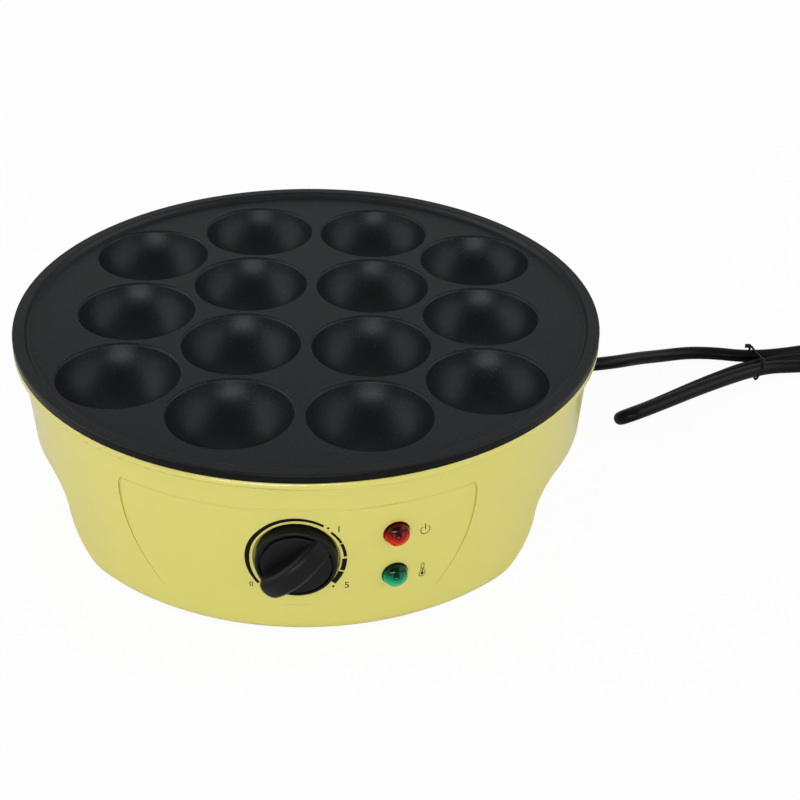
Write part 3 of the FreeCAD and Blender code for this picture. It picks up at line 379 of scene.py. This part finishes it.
lensSettings = {
    # painted shade high on the lens and painted glow low on it, and the node whose middle they
    # lie about
    "lensRed": {"high": (0.045, 0.001, 0.000), "low": (0.46, 0.006, 0.003),
                "node": "power_lamp_lens"},
    "lensGreen": {"high": (0.000, 0.022, 0.008), "low": (0.003, 0.34, 0.155),
                  "node": "ready_lamp_lens"},
}
plasticSettings = {
    "highAbove": 3.6,  # mm from the lens's middle
    "lowBelow": 3.2,
    "paintedFaceShade": 0.25,  # the colour's strength, as painted shade, where the plastic is seen face on
    "faceFrom": 0.02,  # and how far from face on it grows to the full
    "faceTo": 0.16,
    # painted glow: the lens gives off its colour as light
    "paintedGlow": 0.22,
    "rough": 0.06,
    "specular": 0.16,
}


def buildPaintedLensShade():
    # Clear tinted plastic over a lamp, painted darker high up as painted shade and brighter
    # lower down as painted glow.
    tree, given, put = shaderGroup("paintedLensShadeAndGlow", [
        ("High Color", "NodeSocketColor", (0.1, 0.0, 0.0, 1)),
        ("Low Color", "NodeSocketColor", (0.6, 0.0, 0.0, 1)),
        ("High Level", "NodeSocketFloat", 0.055),
        ("Low Level", "NodeSocketFloat", 0.045)],
        [("Color", "NodeSocketColor")])
    place = addNode(tree, "ShaderNodeTexCoord").outputs["Object"]
    level = addNode(tree, "ShaderNodeSeparateXYZ", {"Vector": place})
    share = addNode(tree, "ShaderNodeMapRange",
                    {"Value": level.outputs["Z"], "From Min": given.outputs["Low Level"],
                     "From Max": given.outputs["High Level"]},
                    interpolation_type="SMOOTHSTEP")
    feed(tree, put, {"Color": blendColors(tree, share.outputs["Result"],
                                          given.outputs["Low Color"],
                                          given.outputs["High Color"])})
    return tree


paintedLensShadeGroup = buildPaintedLensShade()


def lensMaterial(name, shades, cfg):
    made, tree, shader = newMaterial(name)
    low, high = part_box(shades["node"])
    middle = (low.z + high.z) / 2
    # painted shade and glow: the lens's colour is darker towards the top and brighter lower down
    paintedLensShade = addNode(tree, "ShaderNodeGroup", {
        "High Color": (*shades["high"], 1), "Low Color": (*shades["low"], 1),
        "High Level": middle + cfg["highAbove"] * mm,
        "Low Level": middle - cfg["lowBelow"] * mm}, node_tree=paintedLensShadeGroup)
    # painted shade: the lens's colour is darker where it is seen face on
    facing = addNode(tree, "ShaderNodeLayerWeight", {"Blend": 0.5})
    depth = addNode(tree, "ShaderNodeMapRange", {
        "Value": facing.outputs["Facing"], "From Min": cfg["faceFrom"],
        "From Max": cfg["faceTo"], "To Min": cfg["paintedFaceShade"], "To Max": 1.0},
        interpolation_type="SMOOTHSTEP")
    seen = addNode(tree, "ShaderNodeVectorMath", {
        0: paintedLensShade.outputs["Color"], "Scale": depth.outputs["Result"]}, operation="SCALE")
    # painted glow: the lens's painted colour is also given off as light
    feed(tree, shader, {
        "Base Color": seen.outputs[0], "Emission Color": seen.outputs[0],
        "Emission Strength": cfg["paintedGlow"], "Roughness": cfg["rough"],
        "Specular IOR Level": cfg["specular"]})
    return made


for name, shades in lensSettings.items():
    materials[name] = lensMaterial(name, shades, plasticSettings)

finishOf = {
    "cooking_plate": "speckledCoating", "heating_element": "elementSheath",
    "element_straps": "zincSteel", "reflector_spacers": "zincSteel",
    "plate_screws": "zincSteel", "heat_reflector": "aluminisedSheet",
    "element_beads": "ceramicWhite", "tie_rods": "zincSteel", "rod_screws": "zincSteel",
    "housing_shell": "shellYellow", "base_cover": "baseBlack", "base_screws": "zincSteel",
    "rubber_feet": "footRubber", "control_knob": "knobBlack",
    "thermostat_shaft": "zincSteel", "knob_clip": "springSteel",
    "thermostat_bracket": "zincSteel", "thermostat_body": "mouldedCream",
    "thermostat_screws": "zincSteel", "thermostat_tabs": "plainBrass",
    "ready_lamp_lens": "lensGreen", "ready_lamp_tube": "sleeveWhite",
    "power_lamp_lens": "lensRed", "power_lamp_tube": "sleeveWhite",
    "cord_strain_relief": "cordBlack", "plug_body": "cordBlack",
    "plug_pins": "platedPins", "terminal_block": "mouldedCream",
    "terminal_screws": "plainBrass", "cord_clamp": "baseBlack",
    "inner_cord": "cordBlack", "internal_leads": "leadBraid",
}
for node, finish in finishOf.items():
    mesh = nodes[node].data
    mesh.materials.clear()
    mesh.materials.append(materials[finish])

rimSettings = {
    "width": 2.2,  # mm in from the plate's edge
    "slope": 0.5,  # a face that looks up by more than this keeps the speckled coat
}


def shadeRimSides(cfg):
    # The rim's side faces get a smoother coat whose darker colour is painted shade.
    plate = nodes["cooking_plate"].data
    plate.materials.append(materials["rimShadedCoating"])
    inside = plateRadius - cfg["width"] * mm
    for face in plate.polygons:
        radius = math.hypot(face.center.x, face.center.y - shellBack)
        if radius > inside and face.normal.z < cfg["slope"]:
            face.material_index = 1


shadeRimSides(rimSettings)
print("materials on %d nodes" % len(finishOf))

# ---- lamp lenses ----

lampSettings = {
    "swing": 18.4,  # degrees round the shell from its front
    "levels": {"power_lamp_lens": 49.1, "ready_lamp_lens": 28.5},
    # radii in mm, and reaches in mm along the lamp's own axis from the panel's face
    "barrel": 5.2, "shoulder": 4.25, "shoulderReach": 3.0, "dome": 3.3, "domeReach": 5.45,
    "flange": 6.6, "flangeBack": 3.8, "flangeSheet": 1.0,
    "clear": 1.0,  # the panel's face is found this far above and below the flange
    "sides": 64, "rings": 32,
}

shellSurface = BVHTree.FromObject(nodes["housing_shell"],
                                  bpy.context.evaluated_depsgraph_get())
castReach = 1.2  # lines towards the shell start this many plate radii out


def swungTo(swing):
    # The way inwards to the shell's axis, for degrees round the shell from its front.
    turn = math.radians(swing)
    return Vector((-math.sin(turn), math.cos(turn), 0))


def onShell(inward, level):
    # Where a level line from outside meets the shell, and how the shell faces there.
    start = Vector((0, shellBack, level * mm)) - inward * plateRadius * castReach
    return shellSurface.ray_cast(start, inward)[:2]


def geometryTree(name, inputs):
    tree = bpy.data.node_groups.new(name, "GeometryNodeTree")
    for label, kind in inputs:
        tree.interface.new_socket(label, in_out="INPUT", socket_type=kind)
    tree.interface.new_socket("Geometry", in_out="OUTPUT", socket_type="NodeSocketGeometry")
    return tree, tree.nodes.new("NodeGroupInput").outputs, tree.nodes.new("NodeGroupOutput")


def treePiece(name, tree, values, finish):
    # Runs a tree with its named values and keeps the result as a plain mesh.
    holder = newObject(name, bpy.data.meshes.new(name))
    nodesOn = holder.modifiers.new("shape", "NODES")
    nodesOn.node_group = tree
    sockets = {item.name: item.identifier for item in tree.interface.items_tree
               if item.in_out == "INPUT"}
    for label, value in values.items():
        nodesOn[sockets[label]] = value
    nodesOn[sockets["Finish"]] = materials[finish]
    bpy.context.view_layer.update()
    mesh = meshOf(holder)
    holder.modifiers.remove(nodesOn)
    holder.data = mesh
    mesh.name = name
    return holder


def finishTree(tree, geometry, given, put):
    real = addNode(tree, "GeometryNodeRealizeInstances", {"Geometry": geometry})
    shade = addNode(tree, "GeometryNodeSetShadeSmooth", {
        "Geometry": real.outputs[0], "Shade Smooth": True})
    painted = addNode(tree, "GeometryNodeSetMaterial", {
        "Geometry": shade.outputs[0], "Material": given["Finish"]})
    feed(tree, put, {0: painted.outputs[0]})


def placed(tree, geometry, place, turn=(0, 0, 0)):
    return addNode(tree, "GeometryNodeTransform", {
        "Geometry": geometry, "Translation": place, "Rotation": turn}).outputs[0]


def heightVector(tree, height):
    return addNode(tree, "ShaderNodeCombineXYZ", {"Z": height}).outputs[0]


def buildLensTree():
    # A flange behind the panel, a barrel with a bevelled shoulder, and a small dome.
    tree, given, put = geometryTree("lampLens", [
        ("Barrel", "NodeSocketFloat"), ("Shoulder", "NodeSocketFloat"),
        ("Shoulder Reach", "NodeSocketFloat"), ("Dome", "NodeSocketFloat"),
        ("Dome Reach", "NodeSocketFloat"), ("Flange", "NodeSocketFloat"),
        ("Flange Back", "NodeSocketFloat"), ("Flange Sheet", "NodeSocketFloat"),
        ("Sides", "NodeSocketInt"), ("Rings", "NodeSocketInt"),
        ("Place", "NodeSocketVector"), ("Facing", "NodeSocketVector"),
        ("Finish", "NodeSocketMaterial")])
    flange = addNode(tree, "GeometryNodeMeshCylinder", {
        "Vertices": given["Sides"], "Radius": given["Flange"], "Depth": given["Flange Sheet"]})
    back = calc(tree, "MULTIPLY", given["Flange Back"], -1.0)
    barrel = addNode(tree, "GeometryNodeMeshCone", {
        "Vertices": given["Sides"], "Radius Bottom": given["Barrel"],
        "Radius Top": given["Shoulder"], "Depth": given["Shoulder Reach"]})
    root = addNode(tree, "GeometryNodeMeshCylinder", {
        "Vertices": given["Sides"], "Radius": given["Barrel"], "Depth": given["Flange Back"]})
    dome = addNode(tree, "GeometryNodeMeshUVSphere", {
        "Segments": given["Sides"], "Rings": given["Rings"], "Radius": given["Dome"]})
    domeLevel = calc(tree, "SUBTRACT", given["Dome Reach"], given["Dome"])
    rootLevel = calc(tree, "MULTIPLY", back, 0.5)
    joined = addNode(tree, "GeometryNodeJoinGeometry")
    for part in (
            placed(tree, flange.outputs["Mesh"], heightVector(tree, back)),
            placed(tree, root.outputs["Mesh"], heightVector(tree, rootLevel)),
            barrel.outputs["Mesh"],
            placed(tree, dome.outputs["Mesh"], heightVector(tree, domeLevel))):
        tree.links.new(part, joined.inputs[0])
    turned = placed(tree, joined.outputs[0], given["Place"], given["Facing"])
    finishTree(tree, turned, given, put)
    return tree


lensTree = buildLensTree()


def buildLens(name, node, finish):
    cfg = lampSettings
    inward, level = swungTo(cfg["swing"]), cfg["levels"][node]
    above, facing = onShell(inward, level + cfg["flange"] + cfg["clear"])
    below = onShell(inward, level - cfg["flange"] - cfg["clear"])[0]
    values = {label: cfg[key] * mm for label, key in (
        ("Barrel", "barrel"), ("Shoulder", "shoulder"), ("Shoulder Reach", "shoulderReach"),
        ("Dome", "dome"), ("Dome Reach", "domeReach"), ("Flange", "flange"),
        ("Flange Back", "flangeBack"), ("Flange Sheet", "flangeSheet"))}
    values["Sides"] = cfg["sides"]
    values["Rings"] = cfg["rings"]
    values["Place"] = (above + below) / 2
    values["Facing"] = Vector(facing.to_track_quat("Z", "Y").to_euler())
    lens = treePiece(name, lensTree, values, finish)
    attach(lens, "appliance")
    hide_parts(node)


buildLens("powerLens", "power_lamp_lens", "lensRed")
buildLens("readyLens", "ready_lamp_lens", "lensGreen")
print("lamp lenses ready")

# ---- ribs on the cord's boot and on the plug's neck ----

ribSettings = {
    "wire": 0.55,
    "pitch": 2.6,
    "ringSides": 48,
    "wireSides": 12,
    "rows": {  # first ring's place in mm, direction, rings, first and last radius
        "bootRibs": ((93.4, 60.5, 19.6), (1, 0, 0), 7, 5.41, 4.51),
        "neckRibs": ((366.9, 69.9, 18.5), (15, -3, 0), 8, 4.38, 5.44),
    },
}


def buildRingTree():
    # Rings of round wire in a row, each a little wider or narrower than the last.
    tree, given, put = geometryTree("ringRow", [
        ("Rings", "NodeSocketInt"), ("Pitch", "NodeSocketFloat"),
        ("First Radius", "NodeSocketFloat"), ("Last Radius", "NodeSocketFloat"),
        ("Wire", "NodeSocketFloat"), ("Ring Sides", "NodeSocketInt"),
        ("Wire Sides", "NodeSocketInt"), ("Place", "NodeSocketVector"),
        ("Facing", "NodeSocketVector"), ("Finish", "NodeSocketMaterial")])
    line = addNode(tree, "GeometryNodeMeshLine", {
        "Count": given["Rings"], "Offset": heightVector(tree, given["Pitch"])})
    last = calc(tree, "SUBTRACT", given["Rings"], 1.0)
    radius = addNode(tree, "ShaderNodeMapRange", {
        "Value": addNode(tree, "GeometryNodeInputIndex").outputs[0], "From Max": last,
        "To Min": given["First Radius"], "To Max": given["Last Radius"]}).outputs["Result"]
    scale = addNode(tree, "ShaderNodeCombineXYZ", {"X": radius, "Y": radius, "Z": 1.0})
    circle = addNode(tree, "GeometryNodeCurvePrimitiveCircle", {
        "Resolution": given["Ring Sides"], "Radius": 1.0})
    rings = addNode(tree, "GeometryNodeInstanceOnPoints", {
        "Points": line.outputs[0], "Instance": circle.outputs[0],
        "Scale": scale.outputs[0]})
    real = addNode(tree, "GeometryNodeRealizeInstances", {"Geometry": rings.outputs[0]})
    profile = addNode(tree, "GeometryNodeCurvePrimitiveCircle", {
        "Resolution": given["Wire Sides"], "Radius": given["Wire"]})
    wire = addNode(tree, "GeometryNodeCurveToMesh", {
        "Curve": real.outputs[0], "Profile Curve": profile.outputs[0]})
    finishTree(tree, placed(tree, wire.outputs[0], given["Place"], given["Facing"]),
               given, put)
    return tree


def buildRibs(name, cfg, tree):
    place, along, rings, first, last = cfg["rows"][name]
    ribs = treePiece(name, tree, {
        "Rings": rings, "Pitch": cfg["pitch"] * mm, "First Radius": first * mm,
        "Last Radius": last * mm, "Wire": cfg["wire"] * mm,
        "Ring Sides": cfg["ringSides"], "Wire Sides": cfg["wireSides"],
        "Place": inFrame(place),
        "Facing": Vector(Vector(along).to_track_quat("Z", "Y").to_euler())}, "cordBlack")
    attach(ribs, "appliance")
    return ribs


ringTree = buildRingTree()
buildRibs("bootRibs", ribSettings, ringTree)
neckRibs = buildRibs("neckRibs", ribSettings, ringTree)
print("ribs ready")

# ---- printed scale, numbers and symbols ----

printSettings = {
    # mm on the printed face, and degrees clockwise from straight up
    "proud": 0.05,
    "castFrom": 30.0,  # the drawing starts this far outside its plane
    "weld": 0.001,
    "step": 2.0,
    "discStep": 20,
    "sweep": {"radius": 19.85, "widths": [(-130.0, 1.2), (-90.0, 1.9), (0.0, 1.35),
                                          (33.0, 1.1)]},
    "marks": [  # from, to, width, outer radius: they grow towards the hot end
        (45.0, 65.5, 0.95, 19.3), (67.0, 87.0, 1.25, 19.3), (90.0, 108.5, 1.9, 19.3),
        (110.5, 130.0, 2.2, 19.3)],
    "dotCircle": 19.6,
    "dotRadius": 0.5,
    "dots": (-134.5, 38.4, 134.5),
    "symbolDepth": 6.0,  # the symbols' plane lies this far inside the plate's radius
    "numbers": [("0", -17.7, -13.4, 2.3), ("1", 16.2, 14.9, 2.9), ("5", 19.2, -13.6, 2.9)],
    "power": {"swing": 24.1, "level": 47.3, "radius": 2.1, "open": 35.0, "stroke": 0.28,
              "bar": 0.42, "barLow": 0.1, "barHigh": 3.1},
    "heat": {"swing": 24.0, "level": 26.8, "bulb": 1.5, "bulbLow": -1.6, "stem": 0.75,
             "stemTop": 3.0, "stroke": 0.26, "dot": 0.7, "line": 0.36, "lineTop": 1.4},
}


def arcPlace(radius, angle, middle=(0.0, 0.0)):
    turn = math.radians(angle)
    return (middle[0] + radius * math.sin(turn), middle[1] + radius * math.cos(turn), 0)


def addArc(flat, radius, widths, middle=(0.0, 0.0)):
    # A stroke along a circle; its width changes evenly between the given angles.
    rows = []
    for (start, wide), (stop, narrow) in zip(widths, widths[1:]):
        steps = max(2, round((stop - start) / printSettings["step"]))
        for step in range(steps + (stop == widths[-1][0])):
            share = step / steps
            angle = start + (stop - start) * share
            width = wide + (narrow - wide) * share
            rows.append([flat.verts.new(arcPlace(radius - width * part, angle, middle))
                         for part in (0.0, 0.5, 1.0)])
    for row, following in zip(rows, rows[1:]):
        for side in (0, 1):
            flat.faces.new((row[side], following[side], following[side + 1],
                            row[side + 1]))


def addDisc(flat, radius, place):
    ring = [flat.verts.new(arcPlace(radius, angle, place))
            for angle in range(0, 360, printSettings["discStep"])]
    flat.faces.new(ring)


def addStroke(flat, start, stop, width):
    along = (Vector(stop) - Vector(start)).normalized() * width / 2
    side = Vector((along.y, -along.x))
    flat.faces.new([flat.verts.new((*corner, 0)) for corner in (
        Vector(start) - side, Vector(start) + side, Vector(stop) + side,
        Vector(stop) - side)])


def addNumber(flat, text, place, height):
    data = bpy.data.curves.new("number", "FONT")
    data.body = text
    shape = newObject("number", data)
    mesh = meshOf(shape)
    low = Vector([min(vert.co[axis] for vert in mesh.vertices) for axis in range(3)])
    high = Vector([max(vert.co[axis] for vert in mesh.vertices) for axis in range(3)])
    scale = height / (high.y - low.y)
    mesh.transform(Matrix.Translation((*place, 0)) @ Matrix.Scale(scale, 4)
                   @ Matrix.Translation(-(low + high) / 2))
    flat.from_mesh(mesh)
    bpy.data.objects.remove(shape)
    bpy.data.curves.remove(data)
    bpy.data.meshes.remove(mesh)


def layPrint(name, flat, origin, right, inward):
    # Lays a flat drawing in mm onto the shell along the inward direction.
    cfg = printSettings
    up = right.cross(inward)
    for vert in flat.verts:
        place = origin + (right * vert.co.x + up * vert.co.y) * mm
        hit = shellSurface.ray_cast(place - inward * cfg["castFrom"] * mm, inward)[0]
        vert.co = hit - inward * cfg["proud"] * mm
    bmesh.ops.remove_doubles(flat, verts=flat.verts, dist=cfg["weld"] * mm)
    flat.normal_update()
    turned = [face for face in flat.faces if face.normal.dot(inward) > 0]
    bmesh.ops.reverse_faces(flat, faces=turned)
    mesh = bpy.data.meshes.new(name)
    flat.to_mesh(mesh)
    flat.free()
    mesh.materials.append(materials["printBlack"])
    piece = newObject(name, mesh)
    film = piece.modifiers.new("film", "SOLIDIFY")
    film.thickness = cfg["proud"] * mm / 2
    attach(piece, "appliance")


def buildDialPrint(cfg):
    flat = bmesh.new()
    addArc(flat, cfg["sweep"]["radius"], cfg["sweep"]["widths"])
    for start, stop, width, radius in cfg["marks"]:
        addArc(flat, radius, [(start, width), (stop, width)])
    for angle in cfg["dots"]:
        addDisc(flat, cfg["dotRadius"], arcPlace(cfg["dotCircle"], angle))
    for text, x, y, height in cfg["numbers"]:
        addNumber(flat, text, (x, y), height)
    inward = Vector(dialJoint["axis"]).normalized()
    layPrint("dialPrint", flat, Vector(dialJoint["pos_m"]), Vector((1, 0, 0)), inward)


def buildSymbol(name, flat, cfg):
    inward = swungTo(cfg["swing"])
    right = Vector((inward.y, -inward.x, 0))
    reach = plateRadius - printSettings["symbolDepth"] * mm
    origin = Vector((0, shellBack, cfg["level"] * mm)) - inward * reach
    layPrint(name, flat, origin, right, inward)


def buildPowerSymbol(cfg):
    flat = bmesh.new()
    addArc(flat, cfg["radius"], [(cfg["open"], cfg["stroke"]),
                                 (360 - cfg["open"], cfg["stroke"])])
    addStroke(flat, (0, cfg["barLow"]), (0, cfg["barHigh"]), cfg["bar"])
    buildSymbol("powerSymbol", flat, cfg)


def buildHeatSymbol(cfg):
    # A thermometer: a bulb with a dot, and a stem with its thread.
    flat = bmesh.new()
    low, bulb, stem = cfg["bulbLow"], cfg["bulb"], cfg["stem"]
    neck = math.degrees(math.asin(stem / bulb))
    addArc(flat, bulb, [(neck, cfg["stroke"]), (360 - neck, cfg["stroke"])], (0, low))
    neckTop = low + bulb * math.cos(math.radians(neck))
    for side in (-1, 1):
        x = side * (stem - cfg["stroke"] / 2)
        addStroke(flat, (x, neckTop), (x, cfg["stemTop"]), cfg["stroke"])
    addArc(flat, stem, [(-90, cfg["stroke"]), (90, cfg["stroke"])], (0, cfg["stemTop"]))
    addDisc(flat, cfg["dot"], (0, low))
    addStroke(flat, (0, low), (0, cfg["lineTop"]), cfg["line"])
    buildSymbol("heatSymbol", flat, cfg)


buildDialPrint(printSettings)
buildPowerSymbol(printSettings["power"])
buildHeatSymbol(printSettings["heat"])
print("print laid on the shell")

# ---- mains cord ----

tubeSteps = {"along": 10, "around": 5}  # how finely a tube's stretches and rings are divided
cordSettings = {
    "diameter": 6.6,
    "run": [(114.4, 60.5, 19.6), (131.0, 60.5, 19.6), (148.0, 67.0, 18.0),
            (162.0, 80.0, 12.8), (177.0, 93.0, 6.8), (192.0, 100.6, 4.5),
            (207.0, 102.2, 3.5), (220.0, 99.6, 3.5)],
    "rightFold": [(234.0, 100.3, 3.5), (250.0, 104.3, 3.5), (276.0, 112.5, 3.5),
                  (300.0, 123.5, 3.5), (333.0, 141.9, 3.5), (346.5, 149.2, 3.5),
                  (361.5, 146.0, 3.5), (370.5, 134.0, 3.5), (368.8, 118.7, 3.5),
                  (357.4, 108.4, 3.5), (341.8, 108.4, 3.5), (300.0, 109.6, 3.5)],
    "leftFold": [(262.0, 99.8, 3.5), (227.0, 92.4, 3.5), (196.0, 72.2, 3.5),
                 (166.0, 49.6, 3.5), (153.1, 41.3, 3.5), (149.2, 38.8, 3.5),
                 (147.9, 34.9, 5.5), (149.8, 31.9, 8.4), (153.9, 31.6, 10.4),
                 (157.7, 34.0, 10.4), (168.0, 40.8, 10.4), (196.0, 62.4, 8.6),
                 (227.0, 84.6, 5.6), (248.0, 89.6, 3.7)],
    "tail": [(262.0, 91.5, 3.5), (282.0, 91.5, 3.5), (300.0, 88.5, 5.6),
             (317.0, 83.0, 10.2), (333.0, 77.5, 15.2), (349.0, 73.5, 18.5),
             (364.0, 70.5, 18.5)],
}


def cordPlaces(names):
    return [inFrame(place) for name in names for place in cordSettings[name]]


def addSpline(data, points, closed=False):
    spline = data.splines.new("NURBS")
    spline.points.add(len(points) - 1)
    for point, place in zip(spline.points, points):
        point.co = (*place, 1)
    spline.order_u = 3
    spline.use_cyclic_u = closed
    spline.use_endpoint_u = not closed
    spline.resolution_u = tubeSteps["along"]


def smoothCurve(name, points, radius, finish, closed=False):
    data = bpy.data.curves.new(name, "CURVE")
    data.dimensions = "3D"
    data.bevel_depth = radius
    data.bevel_resolution = tubeSteps["around"]
    data.use_fill_caps = True
    addSpline(data, points, closed)
    data.materials.append(materials[finish])
    return newObject(name, data)


def curveLength(obj):
    depth, obj.data.bevel_depth = obj.data.bevel_depth, 0
    line = meshOf(obj)
    obj.data.bevel_depth = depth
    total = sum((line.vertices[a].co - line.vertices[b].co).length
                for a, b in (edge.vertices for edge in line.edges))
    bpy.data.meshes.remove(line)
    return total


tieSettings = {
    "wire": 1.2,
    "loop": [(225.6, 104.6, 3.4), (225.7, 104.4, 7.7), (226.6, 97.0, 7.6),
             (228.0, 90.0, 8.4), (228.4, 84.6, 10.2), (227.0, 79.6, 8.6),
             (224.8, 79.0, 3.9), (223.8, 79.6, 0.7), (224.6, 90.0, 0.7),
             (225.3, 103.8, 0.7)],
    "twistFrom": (225.2, 102.0, 8.3),
    "twistTo": (222.4, 101.6, 8.5),
    "twists": 1.0,
    "twistSteps": 8,  # for each full turn
}


def twistPlaces(cfg, side):
    # One of two wires that wind around the line between the twist's ends.
    start, stop = Vector(cfg["twistFrom"]), Vector(cfg["twistTo"])
    along = (stop - start).normalized()
    across = along.orthogonal().normalized()
    up = along.cross(across)
    steps = round(cfg["twists"] * cfg["twistSteps"])
    for step in range(steps + 1):
        share = step / steps
        angle = math.tau * cfg["twists"] * share + math.pi * side
        yield inFrame(start.lerp(stop, share) + cfg["wire"] / 2 * (
            math.cos(angle) * across + math.sin(angle) * up))


def buildTie(cfg):
    # A coated wire around the strands with its ends wound together on top.
    loop = [inFrame(place) for place in cfg["loop"]]
    tie = smoothCurve("wireTie", loop, cfg["wire"] * mm / 2, "knobBlack", closed=True)
    for side in (0, 1):
        addSpline(tie.data, list(twistPlaces(cfg, side)))
    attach(tie, "appliance")
    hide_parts("cord_tie")
    return tie


wireTie = buildTie(tieSettings)
mainsCord = smoothCurve("mainsCord", cordPlaces(["run", "rightFold", "leftFold", "tail"]),
                        cordSettings["diameter"] * mm / 2, "cordBlack")
cordLength = curveLength(mainsCord)
print("cord length %.4f m" % cordLength)
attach(mainsCord, "appliance")
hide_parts("power_cord_run", "power_cord_hank", "power_cord_tail")
cordPlaces(["run"])[0]

# ---- done ----

print("scene ready")
